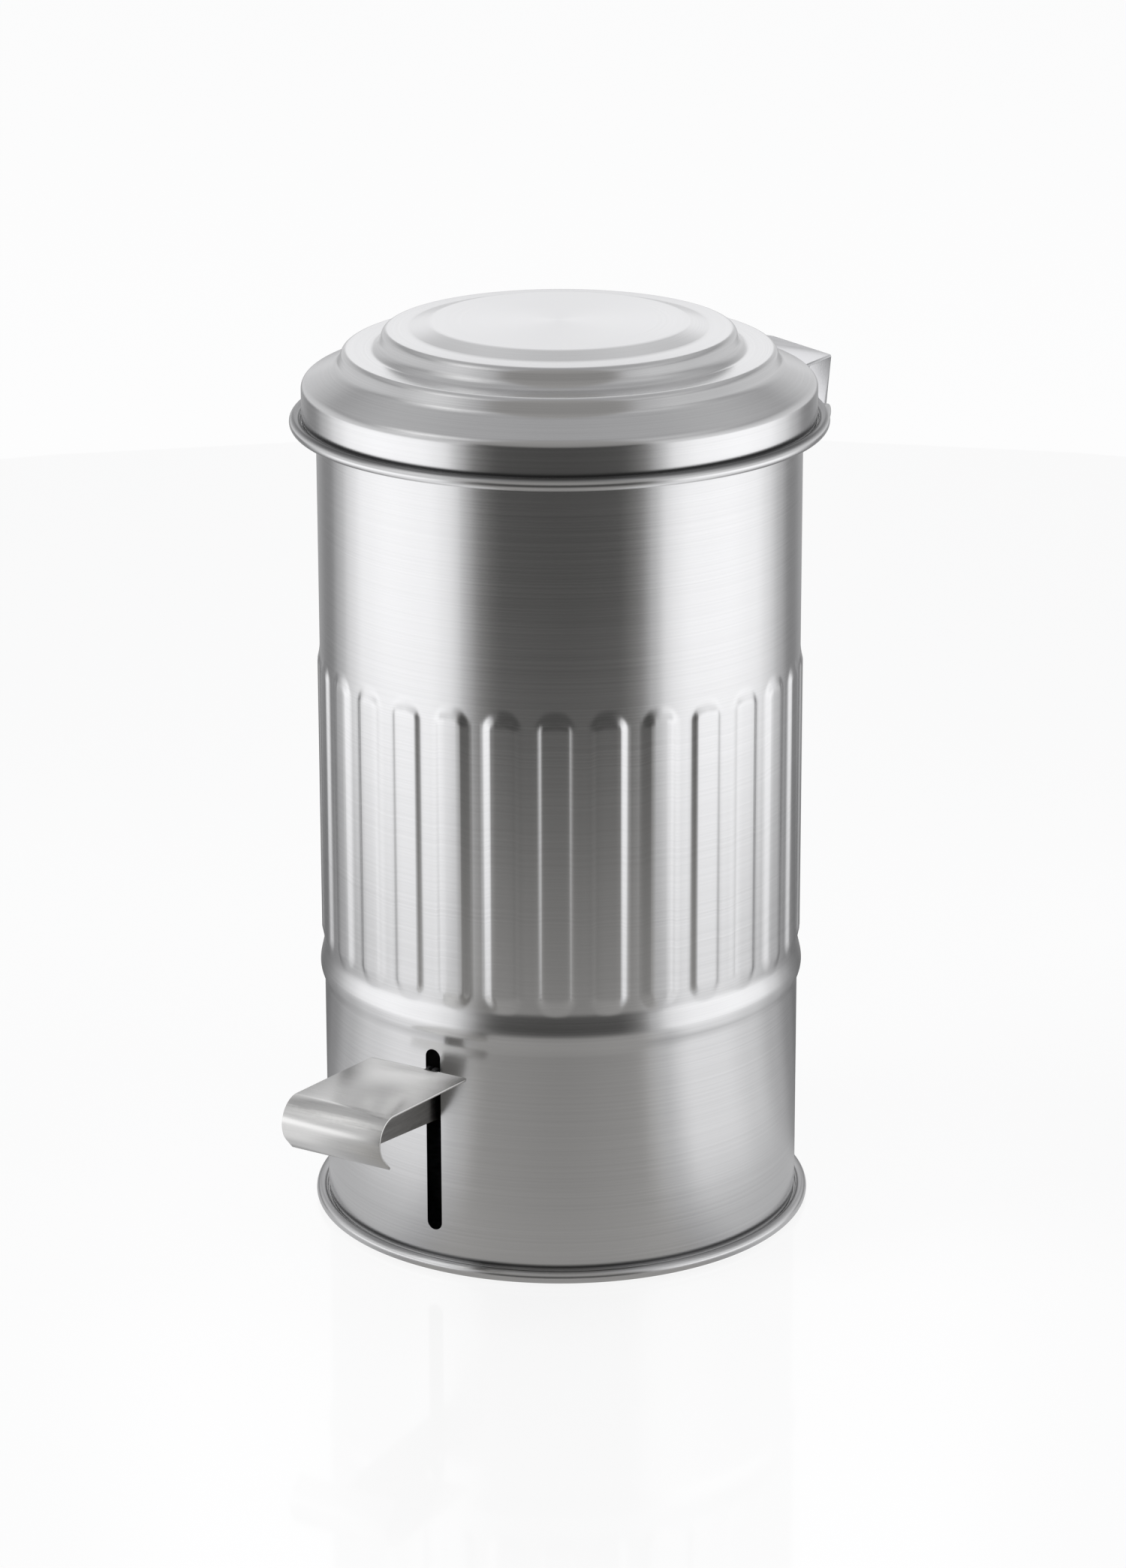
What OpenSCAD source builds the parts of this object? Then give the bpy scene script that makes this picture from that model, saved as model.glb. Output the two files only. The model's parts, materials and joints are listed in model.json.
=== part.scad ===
// Round pedal bin in brushed steel with a stepped lid, a ribbed wall and a folded pedal.
// Millimetres, +Z up. The origin is on the floor, on the axis of the round shell.
// The pedal points along -Y and the lid hinge is on the +Y side.

/* [Shell] */
// Outer radius of the shell
body_r = 100; // [90:1:120]
// Height of the shell's top edge above the floor
body_top = 354; // [320:1:420]
// Thickness of the pressed sheet of the shell and the lid
sheet_t = 0.7; // [0.5:0.1:1]
// Radius of the tube rolled round the foot of the shell
foot_roll_r = 2.78; // [2:0.01:4]
// Height of the rolled foot above the floor
foot_lift = 0.3; // [0.2:0.1:2]
// Height of the middle of the rolled bead
bead_z = 109.3; // [105:0.1:125]
// Height of the rolled bead
bead_h = 17.5; // [12:0.5:24]
// How far the rolled bead stands out
bead_out = 1.9; // [1:0.1:3]

/* [Ribs] */
// Number of upright ribs round the shell
rib_n = 29; // [20:1:36]
// Width of a rib
rib_w = 12; // [6:0.5:14]
// Length of a rib over its round ends
rib_len = 123.7; // [90:0.1:150]
// How far a rib stands out
rib_out = 1; // [0.5:0.1:1.5]
// Gap between the rolled bead and the ribs
rib_gap = 1.75; // [1:0.05:6]
// Turn of the ribs from even spacing beside the pedal, in degrees
rib_turn = -0.5; // [-3:0.1:3]

/* [Pedal slot] */
// Width of the slot for the pedal web
slot_w = 7.1; // [6.6:0.1:9]
// Height of the slot's lower end
slot_low = 16.9; // [15:0.1:19]
// Length of the slot
slot_len = 79.9; // [76:0.1:84]

/* [Lid] */
// Gap between the shell and the inside of the lid's skirt
lid_gap = 5.2; // [4.5:0.1:7]
// Depth of the wired rim's middle below the shell's top edge
lid_lap = 12.5; // [10:0.5:15]
// Radius of the wired rim
lid_roll_r = 2.7; // [2:0.1:3.5]
// Height of the shoulder above the wired rim's middle
skirt_h = 16.1; // [15:0.1:24]
// Rise of the conical band
band_rise = 7; // [6:0.1:12]
// Width of the conical band
band_w = 14.7; // [12:0.1:18]
// Rise of the outer step
outer_step_rise = 6.6; // [4:0.1:10]
// Width of the outer step
outer_step_w = 2.6; // [1.5:0.1:5]
// Rise of the tier between the steps
tier_rise = 1.4; // [0.5:0.1:4]
// Width of the tier between the steps
tier_w = 14.6; // [10:0.1:20]
// Rise of the inner step
inner_step_rise = 6; // [4:0.1:10]
// Width of the inner step
inner_step_w = 2; // [1.5:0.1:5]
// Rise of the sloping crown
crown_rise = 3.8; // [2:0.1:8]
// Width of the sloping crown
crown_w = 19.6; // [14:0.1:24]
// Bend radius at the shoulder
shoulder_bend_r = 4; // [2:0.1:5]
// Bend radius at the top of each step
crest_bend_r = 3.1; // [2:0.1:3.5]
// Bend radius at the foot of each step
valley_bend_r = 2.5; // [1.5:0.1:3]
// Bend radius round the flat top
crown_bend_r = 9; // [4:0.5:14]

/* [Rim and bucket] */
// Wall of the rim ring
rim_t = 1.5; // [1.2:0.1:2]
// How far the rim ring laps down over the shell's top edge
rim_lap = 8.5; // [6:0.1:9]
// Wall of the bucket
bucket_t = 1.2; // [1:0.1:2]
// Height of the bucket's floor above the slot's upper end
bucket_clear = 15; // [12:0.5:30]
// How much smaller the bucket's radius is at its floor
bucket_taper = 6; // [4:0.5:14]
// Gap between the bucket and the swing of the lid crank
bucket_gap = 1.2; // [1:0.1:4]
// How far the bucket's flange stays inside the rim ring's edge
flange_inset = 0.6; // [0.2:0.1:1.5]
// Radius of the bail wire
bail_wire_r = 1.3; // [1:0.1:1.6]
// Diameter of a lid bumper
bumper_d = 5; // [4:0.1:6]
// Number of lid bumpers
bumper_n = 4; // [3:1:6]

/* [Hinge] */
// Distance of the hinge axis beyond the shell
hinge_out = 10; // [9:0.1:13]
// Depth of the hinge axis below the wired rim's middle
hinge_drop = 13.5; // [13:0.1:18]
// Radius of the hinge pin
hinge_pin_r = 2; // [1.5:0.1:2.5]
// Opening angle of the lid
lid_open = 74; // [60:1:80]
// Depth of the hood below the lid's shoulder
hood_drop = 6.6; // [6:0.1:8]
// Half the width of the hood over its ears
hood_half_w = 61.5; // [50:0.5:66]
// Thickness of the hood's sheet
hood_t = 1; // [0.8:0.1:1.2]
// Distance from the hinge axis back to the hood's corners
hood_side_back = 9; // [7:0.1:12]
// Distance from the hinge axis back to the hood's middle edge
hood_mid_back = 26.3; // [18:0.1:30]
// Half the width of the hood's middle edge
hood_mid_half_w = 23.6; // [16:0.1:32]
// Height of the hood's flange on the skirt
hood_flange_h = 5.8; // [5:0.1:6.4]
// Radius of the ears and their distance behind the pin
ear_r = 7; // [5.5:0.1:8]
// Distance from the hinge axis forward to the ears' front edge
ear_front = 10; // [7:0.1:11]
// Thickness of the hinge base's sheet
strap_t = 1.2; // [0.8:0.1:1.6]
// Height of the hinge base's strap
strap_h = 13; // [11:0.5:16]
// Thickness of a hinge lug
lug_t = 2; // [1.5:0.1:3]
// Radius of a hinge lug round the pin
lug_r = 6; // [4.5:0.1:7]
// Thickness of a hinge washer
washer_t = 1.6; // [1:0.1:2]

/* [Lid crank and push rod] */
// Thickness of the lid crank
crank_t = 2.4; // [2:0.1:3]
// Wall of the crank's arm beside the rod's slot
crank_wall = 1.8; // [1.4:0.1:2.4]
// Radius of the crank's hub
crank_hub_r = 6.5; // [5:0.1:7]
// Radius of the push rod
rod_r = 2; // [1.6:0.1:2.4]
// Sideways offset of the upright rod from the middle
rod_x = 8; // [7:0.1:10]
// Bend radius of the push rod
rod_bend_r = 4; // [3:0.1:4.5]
// How far the rod's bent ends reach past the middle
rod_reach = 3.4; // [3.2:0.1:5]
// Height of the rod's guide loop
guide_z = 180; // [160:1:220]

/* [Lever] */
// Distance of the fulcrum behind the middle of the bin
fulcrum_y = 15; // [10:0.5:20]
// Height of the fulcrum
fulcrum_z = 35; // [32:0.5:38]
// Swing of the lever from rest to the floor
lever_swing = 21; // [17:0.5:22]
// Thickness of the lever arm
lever_t = 2.5; // [2:0.1:3]
// Half the width of the lever arm at its ends
lever_half_w = 5.5; // [4:0.1:6]
// Radius of the lever arm round the fulcrum
lever_hub_r = 8.5; // [7:0.1:10]
// Radius of the fulcrum pin
fulcrum_pin_r = 2.5; // [2:0.1:3]
// Wall of the lever's bush
bush_t = 1.5; // [1:0.1:2]
// Distance between the cheeks of the fulcrum bracket
cheek_gap = 8.6; // [7:0.1:12]
// Thickness of the fulcrum bracket's sheet
cheek_t = 1.5; // [1.2:0.1:2]

/* [Pedal] */
// Width of the tread
tread_w = 47; // [40:0.5:56]
// Gap between the shell and the tread's inner edge
tread_gap = 10; // [6:0.5:14]
// Length of the tread's flat part
tread_len = 54.5; // [46:0.5:60]
// Thickness of the tread
tread_t = 1; // [0.8:0.1:1.6]
// Depth of the tread's inner edge below the slot's upper end
tread_drop = 4.6; // [4:0.1:8]
// Upward slope of the tread towards the foot, in degrees
tread_slope = 2.6; // [0:0.1:4]
// Outer radius of the rolled front of the tread
lip_r = 10.4; // [8:0.1:12]
// Angle that the rolled front turns through
lip_turn = 135; // [110:1:150]
// Length of the straight end of the rolled front
lip_flick = 6.6; // [3:0.1:8]
// Radius of the tread's inner corners
tread_corner_r = 2; // [1:0.1:5]
// Thickness of the pedal web
web_t = 1.6; // [1.2:0.1:2]
// Height of the web's lower edge in the slot, below the tread's inner edge
web_depth = 26.5; // [22:0.5:28]
// Height of the web's upper edge in the slot, below the tread's inner edge
web_dip = 4.8; // [4:0.1:6]
// How far the web reaches out from the shell
web_reach = 58; // [48:0.5:62]
// Upward slope of the web's lower edge, in degrees
web_slope = 5.2; // [3:0.1:7]

/* [Base] */
// Height of the base pan's upper face
pan_z = 8.8; // [8:0.1:12]
// Thickness of the base pan
pan_t = 0.8; // [0.6:0.1:1.2]
// Width of the rubber foot ring
foot_ring_w = 6; // [4:0.5:12]

/* [Hidden] */
$fn = 96;

// Gap between faces that are joined or rest on each other
fit_gap = 0.1;
// Radial clearance of a hole on the pin that turns in it
run_gap = 0.06;
// Clearance beside a piece that turns
side_gap = 0.2;
// Clearance of the rod in the crank's slot
rod_slack = 0.2;
// Clearance round a piece that moves through an opening
move_gap = 1;
// Overrun of a cut
over = 1;
// Gap under a soft or free piece at rest
rest_gap = 0.3;

// Heights and radii of the lid
rim_z = body_top - lid_lap;
lid_r = body_r + lid_gap + sheet_t;
rim_cr = lid_r - sheet_t / 2 + lid_roll_r;
shoulder_z = rim_z + skirt_h;
band_top_z = shoulder_z + band_rise;
tier_z = band_top_z + outer_step_rise;
valley_z = tier_z + tier_rise;
crest_z = valley_z + inner_step_rise;
lid_top = crest_z + crown_rise;
band_top_r = lid_r - band_w;
tier_r = band_top_r - outer_step_w;
valley_r = tier_r - tier_w;
crest_r = valley_r - inner_step_w;
crown_r = crest_r - crown_w;

// Hinge axis and the linkage that closes at both ends of its travel
hinge_y = body_r + hinge_out;
hinge_z = rim_z - hinge_drop;
half_open = lid_open / 2;
half_swing = lever_swing / 2;
crank_r = (hinge_y - fulcrum_y) / (cos(half_open) + sin(half_open) / tan(half_swing));
lever_rear = crank_r * sin(half_open) / sin(half_swing);
rod_y = hinge_y - crank_r * cos(half_open);
rod_top = hinge_z - crank_r * sin(half_open);
rod_low = fulcrum_z - lever_rear * sin(half_swing);
rod_mid_y = fulcrum_y + lever_rear;
crank_slot_in = hinge_y - rod_mid_y;
// How far the rod strays from the slot's middle line, at most, a quarter of the way through the travel
rod_stray = lever_rear * sin(half_swing / 2) * cos(half_open / 2)
  - (hinge_y - fulcrum_y - lever_rear * cos(half_swing / 2)) * sin(half_open / 2);
crank_slot_r = rod_r + rod_stray + rod_slack;
crank_half_w = crank_slot_r + crank_wall;

// Slot, tread and web
slot_top = slot_low + slot_len;
tread_y = -body_r - tread_gap;
tread_z = slot_top - tread_drop;
web_low = tread_z - web_depth;
web_top = tread_z - web_dip;
web_mid = (web_low + web_top) / 2;
arm_slope = atan2(web_mid - fulcrum_z, body_r + fulcrum_y);
// Distance of the lever arm's front rivet inside the shell
arm_inset = 18;
arm_len = (body_r + fulcrum_y - arm_inset) / cos(arm_slope);
// Length of the web's lap on the lever arm, behind the front rivet
web_lap = 21;
web_in_len = arm_len - web_lap;

// Sheet stack of shell, rim ring and bucket
inner_r = body_r - sheet_t;
ring_top = body_top + fit_gap + rim_t;
ring_out_r = body_r + fit_gap + rim_t;
flange_z = ring_top + fit_gap;
flange_top = flange_z + bucket_t;
flange_r = ring_out_r - flange_inset;
bucket_r = hinge_y - crank_r - crank_half_w - bucket_gap;
bucket_floor = slot_top + bucket_clear;

// Shank of a rivet, and the radius and height of its head
rivet_r = 1.6;
rivet_head_r = 2.9;
rivet_head_h = 1.2;

function unit(v) = v / norm(v);
function turned(v) = [v[1], -v[0]];
function short_way(a) = a > 180 ? a - 360 : (a < -180 ? a + 360 : a);

// Points of the bend of radius r at corner b between a and c
function bend(a, b, c, r, n) =
  let (u = unit(a - b), w = unit(c - b), half = acos(u * w) / 2)
  let (m = b + unit(u + w) * r / sin(half), p = b + u * r / tan(half), q = b + w * r / tan(half))
  let (s = atan2(p[1] - m[1], p[0] - m[0]), e = atan2(q[1] - m[1], q[0] - m[0]))
  [for (i = [0:n]) m + r * [cos(s + short_way(e - s) * i / n), sin(s + short_way(e - s) * i / n)]];

// The same outline moved by t along its own normals
function shifted(pts, t) = [for (i = [0:len(pts) - 1])
  let (before = i == 0 ? [0, 0] : unit(pts[i] - pts[i - 1]))
  let (after = i == len(pts) - 1 ? [0, 0] : unit(pts[i + 1] - pts[i]))
  pts[i] + turned(unit(before + after)) * t];

// A flat outline of (y, z) drawn across the bin from x0 to x1
module across(x0, x1) {
  translate([x0, 0, 0]) rotate([90, 0, 90]) linear_extrude(x1 - x0) children();
}

// A round bar along X
module bar_x(x0, x1, y, z, r) {
  across(x0, x1) translate([y, z]) circle(r);
}

// A washer along X
module ring_x(x0, x1, y, z, inside, outside) {
  across(x0, x1) translate([y, z]) difference() {
    circle(outside);
    circle(inside);
  }
}

// A straight link of half width w between two points of an outline
module link(a, b, w) {
  u = unit(b - a);
  n = turned(u) * w;
  polygon([a + n, b + n, b - n, a - n]);
}

// An upright stadium of width w from z0 to z1 over its round ends
module stadium(w, z0, z1) {
  translate([-w / 2, z0 + w / 2]) square([w, z1 - z0 - w]);
  translate([0, z0 + w / 2]) circle(w / 2);
  translate([0, z1 - w / 2]) circle(w / 2);
}

// A cut or pad seen from the front, run back from the shell by depth on both sides of radius r
module front_prism(r, depth) {
  translate([0, -r + depth, 0]) rotate([90, 0, 0]) linear_extrude(2 * depth) children();
}

// A domed rivet along +Z whose upper head sits on z = 0 and whose grip lies below
module rivet(grip, r = rivet_r, head_r = rivet_head_r, head_h = rivet_head_h) {
  ball = (head_r * head_r + head_h * head_h) / (2 * head_h);
  rotate_extrude() {
    translate([0, -grip - head_h / 2]) square([r, grip + head_h]);
    for (side = [0, 1]) {
      translate([0, -grip * side]) mirror([0, side]) intersection() {
        translate([0, head_h - ball]) circle(ball);
        square([head_r, head_h]);
      }
    }
  }
}

// How far a round wall of radius r bulges towards a flat face of half width u that touches it from inside
function bulge(r, u) = r - sqrt(r * r - u * u);

// A child that lies on +Z turned to point out of the wall at azimuth a, height z and radius r
module on_wall(a, r, z) {
  rotate([0, 0, a]) translate([0, r, z]) rotate([-90, 0, 0]) children();
}

// Faces of the hinge lugs, washers and ears, along X
ear_in_x = hood_half_w - hood_t;
lug_out_x = ear_in_x - 2 * side_gap - washer_t;
lug_in_x = lug_out_x - lug_t;
strap_in_r = body_r + fit_gap;
strap_out_r = strap_in_r + strap_t;
strap_a = asin(lug_out_x / strap_out_r);
// Depth of the strap's top edge below the hinge axis
strap_drop = 17;
strap_top = hinge_z - strap_drop;
strap_rivet_z = strap_top - strap_h / 2;
// Places of the rivets in the hinge base, as shares of the strap's half angle
strap_rivet_shares = [-0.76, -0.31, 0.31, 0.76];
strap_rivet_as = strap_rivet_shares * strap_a;

// Hood's flange on the lid's skirt and its small rivets
hood_in_r = lid_r + fit_gap;
flange_a = asin(ear_in_x / hood_in_r);
hood_z = shoulder_z - hood_drop;
hood_rivet_z = hood_z - hood_flange_h / 2;
hood_rivet_r = 1.2;
hood_rivet_head_r = 2;
hood_rivet_head_h = 0.9;
// Places of the rivets in the hood's flange, as shares of its half angle
hood_rivet_shares = [-0.72, -0.26, 0.26, 0.72];
hood_rivet_as = hood_rivet_shares * flange_a;

// Window in the back wall that the crank swings through
window_side_gap = 2.6;
window_w = crank_t + 2 * window_side_gap;
window_half_h = (hinge_out + sheet_t) * tan(half_open) + crank_half_w / cos(half_open) + move_gap;

module bead_band(cut) {
  big_r = (bead_h * bead_h / 4 + bead_out * bead_out) / (2 * bead_out);
  translate([body_r + bead_out - big_r, bead_z]) difference() {
    circle(big_r);
    circle(big_r - cut);
  }
}

module body_shell() {
  foot_mid = foot_lift + foot_roll_r;
  bead_low = bead_z - bead_h / 2;
  bead_high = bead_z + bead_h / 2;
  lap = sheet_t / 2;
  rib_low = bead_high + rib_gap;
  color("silver") difference() {
    union() {
      rotate_extrude() {
        translate([inner_r, foot_mid]) square([sheet_t, bead_low + lap - foot_mid]);
        translate([inner_r, bead_high - lap]) square([sheet_t, body_top - bead_high + lap]);
        translate([inner_r + sheet_t / 2 + foot_roll_r, foot_mid]) circle(foot_roll_r);
        intersection() {
          bead_band(sheet_t);
          translate([inner_r + sheet_t / 4, bead_low - sheet_t])
            square([sheet_t + bead_out, bead_h + 2 * sheet_t]);
        }
      }
      intersection() {
        for (i = [0:rib_n - 1]) {
          rotate([0, 0, (i + 1 / 2) * 360 / rib_n + rib_turn]) front_prism(body_r, rib_out * 3)
            stadium(rib_w, rib_low, rib_low + rib_len);
        }
        rotate_extrude() translate([body_r - sheet_t / 2, rib_low - over])
          square([sheet_t / 2 + rib_out, rib_len + 2 * over]);
      }
    }
    front_prism(body_r, sheet_t * 3) stadium(slot_w, slot_low, slot_top);
    translate([-window_w / 2, body_r - sheet_t * 3, hinge_z - window_half_h])
      cube([window_w, sheet_t * 6, 2 * window_half_h]);
    for (a = strap_rivet_as) {
      on_wall(a, inner_r - over, strap_rivet_z) cylinder(h = sheet_t + 2 * over, r = rivet_r + fit_gap);
    }
  }
}

module rim_ring() {
  color("dimgray") rotate_extrude() difference() {
    translate([inner_r - fit_gap - rim_t, body_top - rim_lap])
      square([sheet_t + 2 * fit_gap + 2 * rim_t, rim_lap + fit_gap + rim_t]);
    translate([inner_r - fit_gap, body_top - rim_lap - over])
      square([sheet_t + 2 * fit_gap, rim_lap + fit_gap + over]);
  }
}

// Half sizes of the fulcrum bracket's foot, and the places of its rivets from its middle
bracket_half_x = 22;
bracket_half_y = 13;
bracket_rivet_x = 16;
bracket_rivet_y = 8;
// Middle plane of the bracket and the lever arm, along X
lever_x = web_t / 2 + lever_t / 2;

module at_bracket_rivets() {
  for (sx = [-1, 1], sy = [-1, 1]) {
    translate([lever_x + sx * bracket_rivet_x, fulcrum_y + sy * bracket_rivet_y, 0]) children();
  }
}

pan_r = inner_r - fit_gap;

module base_pan() {
  color("gray") difference() {
    rotate_extrude() {
      translate([0, pan_z - pan_t]) square([pan_r, pan_t]);
      translate([pan_r - pan_t, foot_lift + foot_roll_r / 2])
        square([pan_t, pan_z - foot_lift - foot_roll_r / 2]);
    }
    at_bracket_rivets() translate([0, 0, pan_z - pan_t - over])
      cylinder(h = pan_t + 2 * over, r = rivet_r + fit_gap);
  }
}

module foot_ring() {
  ring_r = pan_r - pan_t - fit_gap;
  color("black") rotate_extrude() {
    translate([ring_r - foot_ring_w, 0]) square([foot_ring_w, pan_z - pan_t - fit_gap]);
  }
}

// Height of the fulcrum bracket's foot, and its wall round the pin
bracket_z = pan_z + fit_gap;
cheek_wall = 4;

module fulcrum_bracket() {
  cheek_r = fulcrum_pin_r + cheek_wall;
  color("lightsteelblue") difference() {
    union() {
      translate([lever_x - bracket_half_x, fulcrum_y - bracket_half_y, bracket_z])
        cube([2 * bracket_half_x, 2 * bracket_half_y, cheek_t]);
      for (side = [-1, 1]) {
        x_in = lever_x + side * cheek_gap / 2;
        x_out = x_in + side * cheek_t;
        across(min(x_in, x_out), max(x_in, x_out)) {
          translate([fulcrum_y, fulcrum_z]) circle(cheek_r);
          polygon([[fulcrum_y - bracket_half_y, bracket_z], [fulcrum_y + bracket_half_y, bracket_z],
            [fulcrum_y + cheek_r, fulcrum_z], [fulcrum_y - cheek_r, fulcrum_z]]);
        }
      }
    }
    bar_x(lever_x - bracket_half_x, lever_x + bracket_half_x, fulcrum_y, fulcrum_z, fulcrum_pin_r + run_gap);
    at_bracket_rivets() translate([0, 0, bracket_z - over])
      cylinder(h = cheek_t + 2 * over, r = rivet_r + fit_gap);
  }
}

module bracket_rivets() {
  color("silver") at_bracket_rivets() translate([0, 0, bracket_z + cheek_t])
    rivet(cheek_t + fit_gap + pan_t);
}

// Thickness and width of a clip ring, and how far the fulcrum pin runs on past its clips
clip_t = 0.8;
clip_w = 2.2;
clip_out = 2;
pin_half = cheek_gap / 2 + cheek_t + side_gap + clip_t + clip_out;

module fulcrum_pin() {
  color("silver") bar_x(lever_x - pin_half, lever_x + pin_half, fulcrum_y, fulcrum_z, fulcrum_pin_r);
}

module fulcrum_clips() {
  near = cheek_gap / 2 + cheek_t + side_gap;
  color("dimgray") for (side = [-1, 1]) {
    x_in = lever_x + side * near;
    x_out = x_in + side * clip_t;
    ring_x(min(x_in, x_out), max(x_in, x_out), fulcrum_y, fulcrum_z,
      fulcrum_pin_r + run_gap, fulcrum_pin_r + clip_w);
  }
}

module hinge_base() {
  lug_y = sqrt(strap_in_r * strap_in_r - lug_in_x * lug_in_x);
  color("lightsteelblue") difference() {
    union() {
      rotate([0, 0, 90 - strap_a]) rotate_extrude(angle = 2 * strap_a)
        translate([strap_in_r, strap_top - strap_h]) square([strap_t, strap_h]);
      for (side = [-1, 1]) {
        across(min(side * lug_in_x, side * lug_out_x), max(side * lug_in_x, side * lug_out_x)) {
          translate([hinge_y, hinge_z]) circle(lug_r);
          polygon([[lug_y, strap_top - strap_h], [lug_y + 2 * strap_t, strap_top - strap_h],
            [hinge_y + lug_r * cos(45), hinge_z - lug_r * sin(45)],
            [hinge_y - lug_r * cos(45), hinge_z + lug_r * sin(45)], [lug_y, strap_top]]);
        }
      }
    }
    bar_x(-hood_half_w, hood_half_w, hinge_y, hinge_z, hinge_pin_r + run_gap);
    for (a = strap_rivet_as) {
      on_wall(a, strap_in_r - over, strap_rivet_z) cylinder(h = strap_t + 2 * over, r = rivet_r + fit_gap);
    }
  }
}

module hinge_base_rivets() {
  color("silver") for (a = strap_rivet_as) {
    on_wall(a, strap_out_r, strap_rivet_z)
      rivet(strap_t + fit_gap + sheet_t + bulge(inner_r, rivet_head_r) + fit_gap);
  }
}

// Length, end wall and side wall of a cap on the hinge pin, and half the length of the pin
cap_t = 2.8;
cap_floor = 1;
cap_wall = 2;
hinge_half = hood_half_w + side_gap + cap_t - cap_floor - fit_gap;

module hinge_pin() {
  color("silver") bar_x(-hinge_half, hinge_half, hinge_y, hinge_z, hinge_pin_r);
}

module hinge_pin_caps() {
  near = hood_half_w + side_gap;
  cap_r = hinge_pin_r + cap_wall;
  color("silver") for (side = [0, 1]) {
    mirror([side, 0, 0]) difference() {
      bar_x(near, near + cap_t, hinge_y, hinge_z, cap_r);
      bar_x(near - over, near + cap_t - cap_floor, hinge_y, hinge_z, hinge_pin_r + run_gap);
    }
  }
}

module hinge_washers() {
  color("white") for (side = [0, 1]) {
    mirror([side, 0, 0]) ring_x(lug_out_x + side_gap, ear_in_x - side_gap, hinge_y, hinge_z,
      hinge_pin_r + run_gap, lug_r - side_gap);
  }
}

// Thickness of the loop that guides the push rod, its wall round the rod, and its flange's height
guide_t = 1.5;
guide_wall = 3;
guide_flange_h = 9;

module rod_guide() {
  hole_r = rod_r + rest_gap;
  half_w = hole_r + guide_wall;
  guide_in_y = rod_y - hole_r - guide_wall / 2;
  guide_a = asin((rod_x + half_w) / inner_r);
  color("gray") difference() {
    union() {
      intersection() {
        translate([rod_x - half_w, guide_in_y, guide_z])
          cube([2 * half_w, inner_r - guide_in_y, guide_t]);
        cylinder(h = body_top, r = inner_r - fit_gap);
      }
      rotate([0, 0, 90 - guide_a]) rotate_extrude(angle = 2 * guide_a)
        translate([inner_r - fit_gap - guide_t, guide_z + guide_t - guide_flange_h])
          square([guide_t, guide_flange_h]);
    }
    translate([rod_x, rod_y, guide_z - over]) cylinder(h = guide_t + 2 * over, r = hole_r);
    translate([rod_x, rod_mid_y, guide_z - over]) cylinder(h = guide_t + 2 * over, r = hole_r);
    translate([rod_x - hole_r, rod_y, guide_z - over])
      cube([2 * hole_r, rod_mid_y - rod_y, guide_t + 2 * over]);
  }
}

// Ears of the bucket: their thickness, their wall round the bail and their place on the flange
ear_t = 2;
ear_wall = 2;
ear_out = 1.5;
bucket_ear_x = bucket_r + ear_out;
// Bail wire: its bends, its gap beside the ears and how far its ends reach past them
bail_bend_r = 3;
bail_gap = 2.2;
bail_reach = 1.8;
bail_z = flange_top + rest_gap + bail_wire_r;
bail_r = bucket_ear_x + ear_t + bail_gap + bail_wire_r;

module bucket() {
  ear_round = bail_wire_r + ear_wall;
  low_r = bucket_r - bucket_taper;
  color("darkgray") {
    difference() {
      union() {
        rotate_extrude() {
          polygon([[0, bucket_floor], [low_r - 2 * bucket_t, bucket_floor],
            [low_r, bucket_floor + 2 * bucket_t], [bucket_r, flange_z],
            [flange_r, flange_z], [flange_r, flange_top],
            [bucket_r - bucket_t, flange_top], [low_r - bucket_t, bucket_floor + 3 * bucket_t],
            [low_r - 3 * bucket_t, bucket_floor + bucket_t], [0, bucket_floor + bucket_t]]);
        }
        for (side = [0, 1]) {
          mirror([side, 0, 0]) across(bucket_ear_x, bucket_ear_x + ear_t) {
            translate([bail_bend_r, bail_z]) circle(ear_round);
            translate([bail_bend_r - ear_round, flange_top - bucket_t / 2])
              square([2 * ear_round, bail_z - flange_top + bucket_t / 2]);
          }
        }
      }
      for (side = [0, 1]) {
        mirror([side, 0, 0]) bar_x(bucket_ear_x - over, bucket_ear_x + ear_t + over, bail_bend_r, bail_z,
          bail_wire_r + fit_gap);
      }
      intersection() {
        translate([-body_r, bail_bend_r - ear_round - over, flange_top - bucket_t])
          cube([2 * body_r, 2 * ear_round + 2 * over, bucket_t]);
        cylinder(h = body_top + lid_lap, r = low_r);
      }
    }
  }
}

module bucket_bail() {
  color("silver") {
    translate([0, 0, bail_z]) rotate_extrude(angle = 180, start = 180)
      translate([bail_r, 0]) circle(bail_wire_r);
    for (side = [0, 1]) {
      mirror([side, 0, 0]) {
        translate([bail_r - bail_bend_r, 0, bail_z]) rotate_extrude(angle = 90, start = 0)
          translate([bail_bend_r, 0]) circle(bail_wire_r);
        bar_x(bucket_ear_x - bail_reach, bail_r - bail_bend_r, bail_bend_r, bail_z, bail_wire_r);
      }
    }
  }
}

// Steps in each bend of the lid
bend_n = 5;
// Outer outline of the lid from the middle of the top to the rim
lid_line = concat([[0, lid_top]],
  bend([0, lid_top], [crown_r, lid_top], [crest_r, crest_z], crown_bend_r, bend_n),
  bend([crown_r, lid_top], [crest_r, crest_z], [valley_r, valley_z], crest_bend_r, bend_n),
  bend([crest_r, crest_z], [valley_r, valley_z], [tier_r, tier_z], valley_bend_r, bend_n),
  bend([valley_r, valley_z], [tier_r, tier_z], [band_top_r, band_top_z], crest_bend_r, bend_n),
  bend([tier_r, tier_z], [band_top_r, band_top_z], [lid_r, shoulder_z], valley_bend_r, bend_n),
  bend([band_top_r, band_top_z], [lid_r, shoulder_z], [lid_r, rim_z], shoulder_bend_r, bend_n),
  [[lid_r, rim_z]]);

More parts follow.
